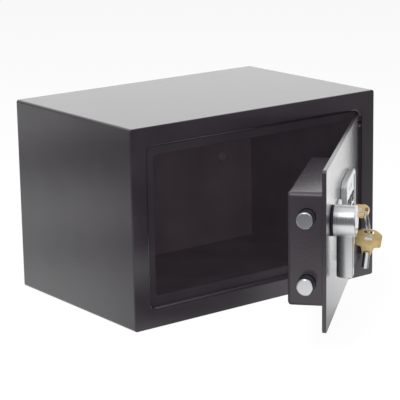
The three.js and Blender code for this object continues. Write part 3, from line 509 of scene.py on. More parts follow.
def key_brass(name):
    """Stamped brass with a satin face, rubbed brighter in patches by handling."""
    made, tree = new_material(name)
    space = object_space(tree)
    rubbed = add(tree, "ShaderNodeTexNoise", {"Vector": space, "Scale": 1 / BRASS_RUB, "Detail": 3.0})
    fine = {"Vector": space, "Scale": 1 / BRASS_GRIT, "Detail": 3.0, "Roughness": 0.7}
    grit = add(tree, "ShaderNodeTexNoise", fine)
    look = {
        "Base Color": add(tree, "ShaderNodeValToRGB", {0: rubbed}, stops={0.35: "#d2b780", 0.65: "#efd69f"}),
        "Metallic": 1.0,
        "Roughness": add(tree, "ShaderNodeMapRange", {**NOISE_RANGE, 0: grit, 3: 0.3, 4: 0.42}),
        "Normal": add(tree, "ShaderNodeBump", {"Height": grit, "Distance": 0.000012, "Strength": 0.6}),
    }
    return surfaced(made, look)


def moulding(name, dark, light, roughness, texture, metallic=0.0, coat=0.0):
    """Injection-moulded plastic or rubber: an even colour with the mould's fine texture."""
    made, tree = new_material(name)
    space = object_space(tree)
    clouds = add(tree, "ShaderNodeTexNoise", {"Vector": space, "Scale": 1 / PLASTIC_CLOUD})
    spark = add(tree, "ShaderNodeTexNoise", {"Vector": space, "Scale": 1 / texture, "Roughness": 0.6})
    satin = {**NOISE_RANGE, 0: spark, 3: roughness - 0.04, 4: roughness + 0.06}
    look = {
        "Base Color": add(tree, "ShaderNodeValToRGB", {0: clouds}, stops={0.35: dark, 0.65: light}),
        "Metallic": metallic,
        "Roughness": add(tree, "ShaderNodeMapRange", satin),
        "Coat Weight": coat,
        "Coat Roughness": 0.1,
        "Normal": add(tree, "ShaderNodeBump", {"Height": spark, "Distance": 0.00001, "Strength": 0.5}),
    }
    return surfaced(made, look)


def circuit_board(name):
    """Glass-fibre board under green solder mask, with the copper tracks showing as paler lines."""
    made, tree = new_material(name)
    pattern = {
        "Vector": object_space(tree, DOOR @ UPRIGHT),
        "Color1": linear("#1c5a3c"),
        "Color2": linear("#1a5036"),
        "Mortar": linear("#3f8f63"),
        "Scale": 1 / BOARD_TRACKS,
        "Mortar Size": 0.03,
    }
    tracks = add(tree, "ShaderNodeTexBrick", pattern).outputs
    raised = {"Height": tracks["Fac"], "Distance": 0.00003, "Strength": 0.5}
    look = {
        "Base Color": tracks["Color"],
        "Roughness": 0.35,
        "Normal": add(tree, "ShaderNodeBump", raised),
    }
    return surfaced(made, look)


def wound_copper(name):
    """Enamelled copper wire in close turns, as fine bands: painted shade in the grooves between turns and a
    painted highlight on each turn, with a matching bump.
    """
    made, tree = new_material(name)
    waves = {"Vector": object_space(tree), "Scale": math.pi / (10 * COIL_WIRE)}
    turns = add(tree, "ShaderNodeTexWave", waves, bands_direction="Z").outputs["Fac"]
    look = {
        "Base Color": add(tree, "ShaderNodeValToRGB", {0: turns}, stops={0.0: "#6d3516", 0.8: "#b8703f"}),
        "Metallic": 0.7,
        "Roughness": 0.35,
        "Normal": add(tree, "ShaderNodeBump", {"Height": turns, "Distance": 0.0002, "Strength": 0.6}),
    }
    return surfaced(made, look)


def cell_wrap(name, place):
    """A printed plastic sleeve on a battery cell: dark, and pale past a line across it."""
    made, tree = new_material(name)
    height = add(tree, "ShaderNodeSeparateXYZ", {0: object_space(tree, place)}).outputs[2]
    low, high = on_door("battery_1")
    band = add(tree, "ShaderNodeMapRange", {0: height, 1: low.z, 2: high.z, 3: 0.0, 4: 1.0})
    sheen = add(tree, "ShaderNodeTexNoise", {"Vector": object_space(tree), "Scale": 1 / SLEEVE_SHEEN})
    look = {
        "Base Color": add(tree, "ShaderNodeValToRGB", {0: band}, stops={0.74: "#2b4a63", 0.75: "#c9a24f"}),
        "Metallic": 0.3,
        "Roughness": add(tree, "ShaderNodeMapRange", {**NOISE_RANGE, 0: sheen, 3: 0.28, 4: 0.36}),
    }
    return surfaced(made, look)


def clear_lens(name):
    """Tinted acrylic lens over a lamp that is off: dark red, with paler depths and a polished face."""
    made, tree = new_material(name)
    deep = {"Vector": object_space(tree), "Scale": 1 / LENS_DEPTHS, "Detail": 1.0}
    depths = add(tree, "ShaderNodeTexNoise", deep)
    look = {
        "Base Color": add(tree, "ShaderNodeValToRGB", {0: depths}, stops={0.35: "#5a1a14", 0.65: "#a8483c"}),
        "Roughness": 0.08,
        "Coat Weight": 1.0,
        "Normal": add(tree, "ShaderNodeBump", {"Height": depths, "Distance": 0.00002, "Strength": 0.3}),
    }
    return surfaced(made, look)


def printed_white(name):
    """Pad-printed white ink, matt and slightly speckled."""
    made, tree = new_material(name)
    speck = add(tree, "ShaderNodeTexNoise", {"Vector": object_space(tree), "Scale": 1 / INK_SPECK})
    look = {
        "Base Color": add(tree, "ShaderNodeValToRGB", {0: speck}, stops={0.35: "#d9d9d6", 0.65: "#ececea"}),
        "Roughness": 0.55,
    }
    return surfaced(made, look)


BLACK_OUTSIDE = powder_coat("black_powder_coat", "#252026", "#2b262c", 0.42, 1.0)
# A duller copy of the coat for the door stop, so that the recessed strip reads as shaded: painted shade.
SHADED_STOP_COAT = powder_coat("black_powder_coat_stop", "#272227", "#2d282c", 0.55, 0.15)
# A lighter copy of the coat, without its clear layer, for the walls inside: painted light for the dark
# inside.
LIGHTENED_INSIDE_COAT = powder_coat("black_powder_coat_inside", "#362f34", "#3c353a", 0.6, 0.0)
ZINC = zinc_plate("zinc_plated_steel")
BRASS = key_brass("stamped_key_brass")
NICKEL = satin_casting("nickel_plated_steel", "#cfd1d2", 0.2)
SILVER_PLASTIC = moulding("silver_painted_abs", "#aeb2b4", "#bcc0c2", 0.28, 0.5 * MM, 0.75, 0.4)
BLACK_PLASTIC = moulding("black_textured_abs", "#17181a", "#1d1e20", 0.48, 0.6 * MM)
SMOKED_PANEL = moulding("smoked_acrylic_panel", "#141517", "#18191b", 0.2, 0.8 * MM, 0.0, 0.6)
BLACK_RUBBER = moulding("black_plug_rubber", "#363236", "#454045", 0.35, 0.6 * MM, 0.0, 0.4)
GREY_RUBBER = moulding("grey_silicone_rubber", "#36383c", "#3e4045", 0.62, 0.5 * MM)
RED_PLASTIC = moulding("red_polished_abs", "#a81f19", "#b82a22", 0.25, 0.6 * MM, 0.0, 0.5)
BOARD = circuit_board("solder_mask_board")
COPPER = wound_copper("enamelled_winding")
LENS = clear_lens("red_tinted_lens")
WHITE_INK = printed_white("pad_printed_white")


# Putting a piece on the object


def finish(piece, body, finish_material, nodes=(), sharp=35):
    """Smooth shading that keeps real edges, then the piece's material, its body and the nodes it stands for.
    """
    mesh = piece.data
    mesh.materials.clear()
    mesh.materials.append(finish_material)
    mesh.polygons.foreach_set("use_smooth", [True] * len(mesh.polygons))
    mesh.set_sharp_from_angle(angle=math.radians(sharp))
    weighted = piece.modifiers.new("flat_faces_stay_flat", "WEIGHTED_NORMAL")
    weighted.keep_sharp = True
    weighted.weight = 100
    piece = baked(piece)
    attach(piece, body)
    if nodes:
        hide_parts(*nodes)
    return piece


def door_piece(piece, body, finish_material, nodes=(), sharp=35):
    """A piece made in the door's own frame, put where the open door is."""
    return finish(placed(piece, DOOR), body, finish_material, nodes, sharp)


def dress(node, finish_material):
    """Gives a node that stays as it is its material."""
    mesh = NODES[node].data
    mesh.materials.clear()
    mesh.materials.append(finish_material)


# The body


def body_loop(inset, radius, y):
    """A rounded rectangle set in from the body's outer faces."""
    return at_depth(inset_rect(BODY_LOW, BODY_HIGH, inset, radius), y)


def make_body_shell():
    """The four walls, run up to the back of the front border so that their joint is a closed hairline."""
    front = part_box("front_frame")[0].y + FRAME_SHEET + HAIR
    back = BODY_HIGH.y
    edge = SHEET_EDGE
    inner = BODY_BEND - BODY_SHEET
    rings = [
        body_loop(0, BODY_BEND, front + edge),
        body_loop(0, BODY_BEND, back - edge),
        body_loop(edge, BODY_BEND - edge, back),
        body_loop(BODY_SHEET - edge, inner + edge, back),
        body_loop(BODY_SHEET, inner, back - edge),
        body_loop(BODY_SHEET, inner, front + edge),
        body_loop(BODY_SHEET - edge, inner + edge, front),
        body_loop(edge, BODY_BEND - edge, front),
    ]
    shell = loft("body_walls", rings, closed=True)
    shell = finish(shell, "body", BLACK_OUTSIDE, ["body_shell"])
    paint_lightened_inside(shell.data)


def paint_lightened_inside(mesh):
    """Faces of the walls that look towards the body's middle line get the lighter inside copy of the coat:
    painted light.
    """
    mesh.materials.append(LIGHTENED_INSIDE_COAT)
    middle = Vector((0, 0, (BODY_LOW.z + BODY_HIGH.z) / 2))
    for face in mesh.polygons:
        across = Vector((1, 0, 1)) * (face.center - middle)
        if face.normal.dot(across) < 0:
            face.material_index = 1


def make_back_panel():
    """The back wall inside the four walls, with its two fixing holes."""
    low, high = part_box("back_panel")
    outline = inset_rect(BODY_LOW, BODY_HIGH, BODY_SHEET + HAIR, BODY_BEND - BODY_SHEET)
    centres = [node_centre(f"hole_plug_{side}") for side in ("left", "right")]
    holes = [circle(centre.x, centre.z, FIXING_HOLE, steps=64) for centre in centres]
    panel = plate("back_wall", [outline, *holes], low.y, high.y, SHEET_EDGE)
    # The back wall has the lighter inside copy of the coat: painted light.
    finish(panel, "body", LIGHTENED_INSIDE_COAT, ["back_panel"])


PLUG_GAP = 0.0003
PLUG_SOFT = 0.55  # the rounded share of the flange's thickness


def make_hole_plugs():
    """Rubber plugs in the fixing holes, each with a soft flange inside the safe and a stem in its hole."""
    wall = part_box("back_panel")[0].y
    for side in ("left", "right"):
        low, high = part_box(f"hole_plug_{side}")
        flange = (high.x - low.x) / 2
        stem = FIXING_HOLE - PLUG_GAP
        soft = (wall - low.y) * PLUG_SOFT
        profile = [(0, low.y), (flange - 2 * soft, low.y)]
        for cosine, sine in quarter(SOFT_STEPS, first=1):
            profile.append((flange - 2 * soft * (1 - sine), low.y + soft - soft * cosine))
        profile += [(flange, wall - HAIR), (stem, wall - HAIR), (stem, high.y), (0, high.y)]
        place = along_y(node_centre(f"hole_plug_{side}"))
        plug = lathe(f"fixing_hole_plug_{side}", profile, place, steps=64)
        finish(plug, "body", BLACK_RUBBER, [f"hole_plug_{side}"])


def opening_loop(inward, y):
    """A loop round the opening, from where the border starts to bend."""
    return body_loop(FRAME_BORDER + inward, OPENING_CORNER - inward, y)


def make_front_frame():
    """The border, bent into the opening with a round edge all the way, then trimmed beside the hinge."""
    low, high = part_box("front_frame")
    front, back = low.y, high.y
    edge = PAINT_EDGE
    rings = [
        body_loop(0, BODY_BEND, front + FRAME_SHEET),
        body_loop(0, BODY_BEND, front + edge),
        body_loop(edge * EDGE_MIDDLE, BODY_BEND - edge * EDGE_MIDDLE, front + edge * EDGE_MIDDLE),
        body_loop(edge, BODY_BEND - edge, front),
    ]
    for cosine, sine in quarter(BEND_STEPS):
        rings.append(opening_loop(FRAME_BEND * sine, front + FRAME_BEND * (1 - cosine)))
    inner_bend = FRAME_BEND - FRAME_SHEET
    rings.append(opening_loop(FRAME_BEND, back))
    rings.append(opening_loop(inner_bend, back))
    for cosine, sine in reversed(quarter(BEND_STEPS)[:-1]):
        rings.append(opening_loop(inner_bend * sine, front + FRAME_BEND - inner_bend * cosine))
    border = loft("front_border", rings, closed=True)
    hinge_side = high.x - FRAME_BORDER
    corner = FRAME_BORDER + OPENING_CORNER
    reach = 2 * FRAME_BEND
    near = (hinge_side - reach, front - reach, low.z + corner)
    far = (hinge_side, back + reach, high.z - corner)
    border = carved(border, block("trim", near, far, SHEET_EDGE))
    finish(border, "body", BLACK_OUTSIDE, ["front_frame"])


STOP_SHEET = 0.0015
STOP_BEND = 0.0009
TRIM_EDGE = 0.0001


def inner_inset(node):
    """How far the inner edge of a node's left side stands in from the body's outer face."""
    width = BODY_HIGH.x - BODY_LOW.x
    points = [vertex.co for vertex in NODES[node].data.vertices]
    return max(point.x for point in points if point.x < -width / 4) - BODY_LOW.x


def make_door_stop():
    """The angle strip that the shut door meets, open on the hinge side."""
    low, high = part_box("door_stop")
    inner = inner_inset("door_stop")
    face_back = low.y + STOP_SHEET
    outer = FRAME_BORDER + FRAME_BEND - FRAME_SHEET
    corner = OPENING_CORNER - FRAME_BEND
    middle = STOP_BEND * EDGE_MIDDLE
    rings = [
        body_loop(outer, OPENING_CORNER, face_back),
        body_loop(outer, OPENING_CORNER, low.y),
        body_loop(inner - STOP_BEND, corner + STOP_BEND, low.y),
        body_loop(inner - middle, corner + middle, low.y + middle),
        body_loop(inner, corner, low.y + STOP_BEND),
        body_loop(inner, corner, high.y),
        body_loop(inner - STOP_SHEET, corner + STOP_SHEET, high.y),
        body_loop(inner - STOP_SHEET, corner + STOP_SHEET, face_back),
    ]
    strip = loft("stop_strip", rings, closed=True)
    reach = BODY_HIGH.x
    near = (high.x, low.y - reach, low.z - reach)
    far = (reach * 2, high.y + reach, reach * 2)
    strip = carved(strip, block("trim", near, far, TRIM_EDGE))
    # The stop has the duller copy of the coat: painted shade in its recess.
    finish(strip, "body", SHADED_STOP_COAT, ["door_stop"])


BRACKET_MERGE = 0.00001
BRACKET_FLAT = math.radians(2)  # faces that differ by less are one face
BRACKET_CORNER = math.radians(40)  # edges that turn by more are rounded


def make_hinge_brackets():
    """The brackets' own shapes, with each flat face made whole and the edges rounded."""
    for side in ("lower", "upper"):
        node = f"hinge_bracket_{side}"
        copy = new_piece(f"hinge_bearing_{side}", NODES[node].data.copy())
        work = bmesh.new()
        work.from_mesh(copy.data)
        bmesh.ops.remove_doubles(work, verts=work.verts, dist=BRACKET_MERGE)
        bmesh.ops.dissolve_limit(work, angle_limit=BRACKET_FLAT, verts=work.verts, edges=work.edges)
        work.to_mesh(copy.data)
        work.free()
        rounding = copy.modifiers.new("edges", "BEVEL")
        rounding.width = SHEET_EDGE
        rounding.segments = 2
        rounding.limit_method = "ANGLE"
        rounding.angle_limit = BRACKET_CORNER
        finish(baked(copy), "body", ZINC, [node])


# The door

DOOR_THICKNESS = 0.004
DOOR_FREE_CORNER = 0.0035
DOOR_HINGE_CORNER = 0.006
LOCK_GAP = 0.0003
SCREW_STACK = 0.0045  # the screw's head, the cover's sheet and the thread that is seen of a screw


def make_door_plate():
    """The door's steel plate, cut by laser, with coat-softened edges."""
    low, high = on_door("door_plate")
    corners = [
        (low.x, low.z, DOOR_FREE_CORNER),
        (high.x, low.z, DOOR_HINGE_CORNER),
        (high.x, high.z, DOOR_HINGE_CORNER),
        (low.x, high.z, DOOR_FREE_CORNER),
    ]
    spindle = door_joint("handle_turn")
    lock = door_joint("lock_turn")
    spindle_low, spindle_high = on_door("handle_spindle")
    spindle_hole = (spindle_high.z - spindle_low.z) / 2 + SPINDLE_GAP
    loops = [
        filleted(corners),
        circle(spindle.x, spindle.z, spindle_hole),
        circle(lock.x, lock.z, LOCK_BARREL + LOCK_GAP),
    ]
    sheet = plate("door_sheet", loops, low.y, low.y + DOOR_THICKNESS, PAINT_EDGE)
    door_piece(sheet, "door", BLACK_OUTSIDE, ["door_plate"])


def make_cover_pillars():
    """The pillars behind the door's plate, which the cover's screws go into."""
    foot = on_door("door_plate")[0].y + DOOR_THICKNESS - HAIR
    pillars = []
    for index in range(1, 5):
        low, high = on_door(f"cover_screw_{index}")
        radius = (high.x - low.x) / 2
        top = high.y - SCREW_STACK
        profile = [(0, foot), (radius, foot), (radius, top), (0, top)]
        pillars.append(lathe("pillar", profile, along_y((low + high) / 2), steps=32))
    door_piece(joined("cover_pillars", pillars), "door", BLACK_OUTSIDE)


PIN_RADIUS = 0.002
PIN_LENGTH = 0.0045


def make_hinge_rod():
    """The rod at the door's edge, turned down to a pin at each end."""
    low, high = on_door("hinge_rod")
    radius = (high.x - low.x) / 2
    edge = PAINT_EDGE
    profile = [
        (0, low.z),
        (PIN_RADIUS - edge, low.z),
        (PIN_RADIUS, low.z + edge),
        (PIN_RADIUS, low.z + PIN_LENGTH),
        (radius - edge, low.z + PIN_LENGTH),
        (radius, low.z + PIN_LENGTH + edge),
        (radius, high.z - PIN_LENGTH - edge),
        (radius - edge, high.z - PIN_LENGTH),
        (PIN_RADIUS, high.z - PIN_LENGTH),
        (PIN_RADIUS, high.z - edge),
        (PIN_RADIUS - edge, high.z),
        (0, high.z),
    ]
    rod = lathe("hinge_pin_rod", profile, UPRIGHT, steps=48)
    door_piece(rod, "door", BLACK_OUTSIDE, ["hinge_rod"])


COVER_BEND = 0.003
COVER_SHEET = 0.0012
COVER_CORNER = 1.8  # the radius of the upright corners, in bends
COVER_LEAST_CORNER = 0.0004
BOLT_GAP = 0.0005
LID_GAP = 0.0003
LID_HOLE_EDGE = 0.0005
PUNCH_REACH = 0.01


def cover_shell():
    """The cover's outer skin and, inside it, its inner one, joined by the sheet's cut edge at the front."""
    low, high = on_door("bolt_cover")
    front, back = low.y, high.y
    start = back - COVER_BEND

    def ring(inset, y):
        radius = max(COVER_BEND * COVER_CORNER - inset, COVER_LEAST_CORNER)
        return at_depth(inset_rect(low, high, inset, radius), y)

    outer = [ring(COVER_SHEET - SHEET_EDGE, front), ring(SHEET_EDGE, front), ring(0, front + SHEET_EDGE)]
    for cosine, sine in quarter(BEND_STEPS):
        outer.append(ring(COVER_BEND * (1 - cosine), start + COVER_BEND * sine))
    inner_bend = COVER_BEND - COVER_SHEET
    inner = []
    for cosine, sine in reversed(quarter(BEND_STEPS)):
        inner.append(ring(COVER_SHEET + inner_bend * (1 - cosine), start + inner_bend * sine))
    inner.append(ring(COVER_SHEET, front + SHEET_EDGE))
    work = bmesh.new()
    outer, inner = ([[work.verts.new(point) for point in loop] for loop in half] for half in (outer, inner))
    for loop, following in [*zip(outer, outer[1:]), *zip(inner, inner[1:]), (inner[-1], outer[0])]:
        skin(work, loop, following)
    work.faces.new(outer[-1])
    work.faces.new(inner[0])
    return from_bmesh("bolt_work_cover", work)


def punch(radius, place, steps=ROUND_STEPS):
    """A round tool along Y that passes through a sheet at its place."""
    profile = [(0, -PUNCH_REACH), (radius, -PUNCH_REACH), (radius, PUNCH_REACH), (0, PUNCH_REACH)]
    return lathe("punch", profile, place, steps=steps)


def make_bolt_cover():
    """The pressed sheet cover: rounded bends at its back, open towards the door, pierced for the bolts."""
    cover = cover_shell()
    low, high = on_door("bolt_cover")
    for name in ("bolt_lower", "bolt_upper"):
        bolt_low, bolt_high = on_door(name)
        centre = (bolt_low + bolt_high) / 2
        place = Matrix.Translation((low.x, centre.y, centre.z)) @ Matrix.Rotation(math.radians(90), 4, "Z")
        cover = carved(cover, punch((bolt_high.z - bolt_low.z) / 2 + BOLT_GAP, place))
    lid_low, lid_high = on_door("battery_lid")
    gap = Vector((LID_GAP, PUNCH_REACH, LID_GAP))
    cover = carved(cover, block("punch", lid_low - gap, lid_high + gap, LID_HOLE_EDGE))
    reset_low, reset_high = on_door("reset_button")
    centre = (reset_low + reset_high) / 2
    place = Matrix.Translation((centre.x, high.y, centre.z))
    cover = carved(cover, punch((reset_high.x - reset_low.x) / 2 + BOLT_GAP, place, steps=48))
    door_piece(cover, "door", BLACK_OUTSIDE, ["bolt_cover"], sharp=30)


BOLT_CHAMFER = 0.0008
BOLT_LENGTH = 0.054
BOLT_SHANK = 0.004
BOLT_RIVET = 0.0056
BOLT_RIVET_HEAD = 0.0018
RIVET_DOME = ((0.93, 0.55), (0.72, 0.9), (0.5, 1))  # shares of the rivet's radius and of its head's height


def make_bolts():
    """Two turned and plated steel bolts with bright chamfers."""
    for name in ("lower", "upper"):
        low, high = on_door(f"bolt_{name}")
        centre = (low + high) / 2
        radius = (high.z - low.z) / 2
        length = high.x - low.x
        soft = BOLT_CHAMFER / 4
        head = length - BOLT_RIVET_HEAD
        profile = [
            (0, 0),
            (radius - BOLT_CHAMFER - soft, 0),
            (radius - BOLT_CHAMFER, soft / 2),
            (radius - soft / 2, BOLT_CHAMFER),
            (radius, BOLT_CHAMFER + soft),
            (radius, BOLT_LENGTH - soft),
            (radius - soft, BOLT_LENGTH),
            (BOLT_SHANK, BOLT_LENGTH),
            (BOLT_SHANK, head),
            (BOLT_RIVET, head),
        ]
        profile += [(BOLT_RIVET * across, head + BOLT_RIVET_HEAD * up) for across, up in RIVET_DOME]
        profile += [(0, length)]
        place = Matrix.Translation((low.x, centre.y, centre.z)) @ Matrix.Rotation(math.radians(-90), 4, "Z")
        steel = turned_metal(f"turned_bolt_steel_{name}", "#d2d3d5", 0.2, DOOR @ place, BOLT_TURNING)
        bolt = lathe(f"locking_bolt_{name}", profile, place)
        door_piece(bolt, "bolt_work", steel, [f"bolt_{name}"], sharp=20)


# The handle

HUB_ROUND = 0.0017
LEVER_WIDTH = 0.012
LEVER_DEPTH = 0.0157
LEVER_SETBACK = 0.0031
LEVER_FRONT_ROUND = 0.0011
LEVER_LEAST_ROUND = 0.0003
LEVER_CURVE = 2.8  # the power of the side's curve: 2 would be an ellipse
LEVER_STEPS = 16
LEVER_TIP_ROUND = 0.0022


def lever_section(inset):
    """Half of a flat front with small round corners, and sides that close in a long curve at the back."""
    width, depth = LEVER_WIDTH / 2 - inset, LEVER_DEPTH - 2 * inset
    soft = max(LEVER_FRONT_ROUND - inset, LEVER_LEAST_ROUND)
    side = [(width - soft * (1 - sine), soft * (1 - cosine)) for cosine, sine in quarter(4)]
    for step in range(1, LEVER_STEPS + 1):
        along = soft + (depth - soft) * math.sin(math.pi / 2 * step / LEVER_STEPS)
        near = (along - soft) / (depth - soft)
        side.append((width * (1 - near**LEVER_CURVE) ** (1 / LEVER_CURVE), along))
    return side


def make_handle():
    """A turned hub with a soft end, and a bar below it whose door side is rounded."""
    low, high = on_door("handle_lever")
    axis = door_joint("handle_turn")
    radius = (high.x - low.x) / 2
    front, back = low.y, high.y
    profile = [(0, back), (radius - PAINT_EDGE, back), (radius, back - PAINT_EDGE)]
    profile += arc(radius - HUB_ROUND, front + HUB_ROUND, HUB_ROUND, 0, -90, steps=6)
    profile += [(0, front)]
    hub = lathe("handle_hub", profile, along_y(axis), steps=128)
    tip = LEVER_TIP_ROUND

    def section(inset, z):
        side = lever_section(inset)
        loop = side + [(-x, y) for x, y in reversed(side[:-1])]
        return [Vector((axis.x + x, front + LEVER_SETBACK + inset + y, z)) for x, y in loop]

    rings = [section(0, axis.z)]
    for cosine, sine in quarter(BEND_STEPS):
        rings.append(section(tip * (1 - cosine), low.z + tip - tip * sine))
    handle = carved(hub, loft("handle_bar", rings), "UNION")
    chrome = turned_metal("satin_chromed_handle", "#dcdddf", 0.26, DOOR @ along_y(axis), HANDLE_TURNING)
    door_piece(handle, "handle", chrome, ["handle_lever"], sharp=30)


def make_handle_washer():
    """The black washer between the hub and the door."""
    low, high = on_door("handle_washer")
    spindle_low, spindle_high = on_door("handle_spindle")
    outer = (high.x - low.x) / 2
    inner = (spindle_high.x - spindle_low.x) / 2 + SPINDLE_GAP
    edge = SHEET_EDGE
    profile = [
        (inner, low.y),
        (outer - edge, low.y),
        (outer, low.y + edge),
        (outer, high.y - edge),
        (outer - edge, high.y),
        (inner, high.y),
    ]
    washer = lathe("handle_spacer", profile, along_y(door_joint("handle_turn")), closed=True)
    door_piece(washer, "door", BLACK_PLASTIC, ["handle_washer"])


# The lock and its keys

LOCK_FLANGE = 0.0027
LOCK_ROUND = 0.0008
PLUG_CLEARANCE = 0.0003
PLUG_EDGE = 0.0003
GROOVE_INNER = 0.0022
GROOVE_OUTER = 0.0038
GROOVE_FLOOR = 0.0088  # depth from the door's hinge plane
TAIL_RADIUS = 0.004
TAIL_START = 0.0178


def make_lock():
    """The turned lock body, and in it the plug with the ring-shaped groove that a key's barrel enters."""
    low, high = on_door("lock_body")
    axis = door_joint("lock_turn")
    place = along_y(axis)
    face = (high.x - low.x) / 2
    plug_low, plug_high = on_door("lock_plug")
    plug = (plug_high.x - plug_low.x) / 2
    bore = plug + PLUG_CLEARANCE
    soft = LOCK_ROUND
    flange = low.y + LOCK_FLANGE
    profile = [
        (bore, high.y),
        (bore, low.y + soft / 2),
        (bore + soft / 2, low.y),
        (face - 2 * soft, low.y),
        (face - soft / 2, low.y + soft / 2),
        (face, low.y + 2 * soft),
        (face, flange),
        (LOCK_BARREL, flange),
        (LOCK_BARREL, high.y),
    ]
    body = lathe("lock_barrel", profile, place, closed=True)
    nickel = turned_metal("turned_lock_nickel", "#d0d2d3", 0.2, DOOR @ place, BOLT_TURNING)
    door_piece(body, "door", nickel, ["lock_body"], sharp=30)
    profile = [
        (0, plug_low.y),
        (GROOVE_INNER - PLUG_EDGE, plug_low.y),
        (GROOVE_INNER, plug_low.y + PLUG_EDGE),
        (GROOVE_INNER, GROOVE_FLOOR),
        (GROOVE_OUTER, GROOVE_FLOOR),
        (GROOVE_OUTER, plug_low.y + PLUG_EDGE),
        (GROOVE_OUTER + PLUG_EDGE, plug_low.y),
        (plug, plug_low.y),
        (plug, TAIL_START),
        (TAIL_RADIUS, TAIL_START),
        (TAIL_RADIUS, plug_high.y),
        (0, plug_high.y),
    ]
    turned = lathe("lock_cylinder", profile, place, steps=64)
    door_piece(turned, "plug", nickel, ["lock_plug"], sharp=30)


KEY_BOW_HALF = 0.013
KEY_BOW_LENGTH = 0.0185
KEY_NECK_LENGTH = 0.0075
KEY_NECK_ROOT = 0.0064
KEY_NECK_END = 0.0046
KEY_SHEET = 0.0022
KEY_EDGE = 0.0005
KEY_BARREL = 0.0035
KEY_BORE = 0.0025
KEY_BARREL_LENGTH = 0.013
KEY_BARREL_EDGE = 0.0003
KEY_BARREL_SEAT = 0.45  # of the neck's length, which the barrel goes up into it
KEY_SLOT_HALF = 0.0051
KEY_SLOT_WIDTH = 0.0028
KEY_SLOT_ROUND = 0.45  # of the slot's width
KEY_CUTS = (0.0009, 0.0014, 0.0006, 0.0011, 0.0016, 0.0008, 0.0012)  # depths round the barrel's mouth
KEY_CUT_HALF = 0.0009
KEY_CUT_HALF_WIDTH = 0.00055
KEY_CUT_REACH = 0.001
KEY_TOOL_EDGE = 0.0001

# Corners down the right of the bow, after the one at its end: shares of its half width and its length
BOW_END_ROUND = 0.03
BOW_CROWN = (0.54, 0.055)
BOW_SHOULDER = (1, 0.26)
BOW_FOOT = (0.955, 0.92)
NECK_ROOT_DOWN = 0.985  # of the bow's length
NECK_BEND_DOWN = 0.93  # of the whole length
NECK_TIP_SHARE = 0.86  # of the neck's half width

TILE_HALF = 0.0038
TILE_LOW = 0.0109  # below the end of the bow
TILE_HIGH = 0.0079
TILE_CORNER = 0.0005
TILE_SINK = 0.0002
TILE_RISE = 0.0003
TILE_EDGE = 0.00012

NIB_HALF = 0.0005
NIB_SINK = 0.0004
NIB_RISE = 0.0002
NIB_START = 0.0016  # above the barrel's mouth
NIB_END = 0.0036


def key_outline():
    """The bow and neck, down from the end of the bow, with every corner rounded."""
    half, length = KEY_BOW_HALF, KEY_BOW_LENGTH
    end = -length - KEY_NECK_LENGTH
    right = [
        (half * BOW_CROWN[0], -length * BOW_CROWN[1], 0.004),
        (half * BOW_SHOULDER[0], -length * BOW_SHOULDER[1], 0.0035),
        (half * BOW_FOOT[0], -length * BOW_FOOT[1], 0.0022),
        (KEY_NECK_ROOT, -length * NECK_ROOT_DOWN, 0.0014),
        (KEY_NECK_END, end * NECK_BEND_DOWN, 0.003),
        (KEY_NECK_END * NECK_TIP_SHARE, end, 0.0006),
    ]
    left = [(-x, y, radius) for x, y, radius in reversed(right)]
    return filleted([(0.0, 0.0, BOW_END_ROUND)] + right + left, steps=5)


def key_bow(name):
    """The stamped bow with its slot for the ring."""
    slot = rounded_rect(
        -KEY_SLOT_HALF,
        KEY_SLOT_HALF,
        -KEY_SLOT_INSET - KEY_SLOT_WIDTH / 2,
        -KEY_SLOT_INSET + KEY_SLOT_WIDTH / 2,
        KEY_SLOT_WIDTH * KEY_SLOT_ROUND,
        steps=6,
    )
    return plate(name, [key_outline(), slot], -KEY_SHEET / 2, KEY_SHEET / 2, KEY_EDGE)


def key_tiles(name):
    """A blank raised tile on each face of the bow."""
    tiles = []
    for side in (-1, 1):
        near, far = sorted((side * (KEY_SHEET / 2 - TILE_SINK), side * (KEY_SHEET / 2 + TILE_RISE)))
        outline = rounded_rect(-TILE_HALF, TILE_HALF, -TILE_LOW, -TILE_HIGH, TILE_CORNER, steps=3)
        tiles.append(plate("tile", [outline], near, far, TILE_EDGE))
    return joined(name, tiles)


def key_barrel(name):
    """The plated tube with cuts round its mouth and a small nib on its side."""
    neck_end = -KEY_BOW_LENGTH - KEY_NECK_LENGTH
    top = neck_end + KEY_NECK_LENGTH * KEY_BARREL_SEAT
    bottom = neck_end - KEY_BARREL_LENGTH
    soft = KEY_BARREL_EDGE
    profile = [
        (0, top),
        (KEY_BARREL - soft, top),
        (KEY_BARREL, top - soft),
        (KEY_BARREL, bottom + soft),
        (KEY_BARREL - soft, bottom),
        (KEY_BORE + soft / 2, bottom),
        (KEY_BORE, bottom + soft / 2),
        (KEY_BORE, neck_end),
        (0, neck_end),
    ]
    barrel = lathe("tube", profile, UPRIGHT, steps=48)
    cuts = []
    for index, depth in enumerate(KEY_CUTS):
        turn = 2 * math.pi * (index + 0.5) / len(KEY_CUTS)
        low = Vector((-KEY_CUT_HALF, -KEY_CUT_HALF_WIDTH, bottom - KEY_CUT_REACH))
        high = Vector((KEY_CUT_HALF, KEY_CUT_HALF_WIDTH, bottom + depth))
        cut = block("cut", low, high, KEY_TOOL_EDGE, steps=1)
        wall = Matrix.Translation(((KEY_BARREL + KEY_BORE) / 2, 0, 0))
        cuts.append(placed(cut, Matrix.Rotation(turn, 4, "Z") @ wall))
    barrel = carved(barrel, joined("cuts", cuts))
    nib_low = Vector((-NIB_HALF, KEY_BARREL - NIB_SINK, bottom + NIB_START))
    nib_high = Vector((NIB_HALF, KEY_BARREL + NIB_RISE, bottom + NIB_END))
    barrel = carved(barrel, block("nib", nib_low, nib_high, KEY_TOOL_EDGE), "UNION")
    barrel.name = name
    return barrel


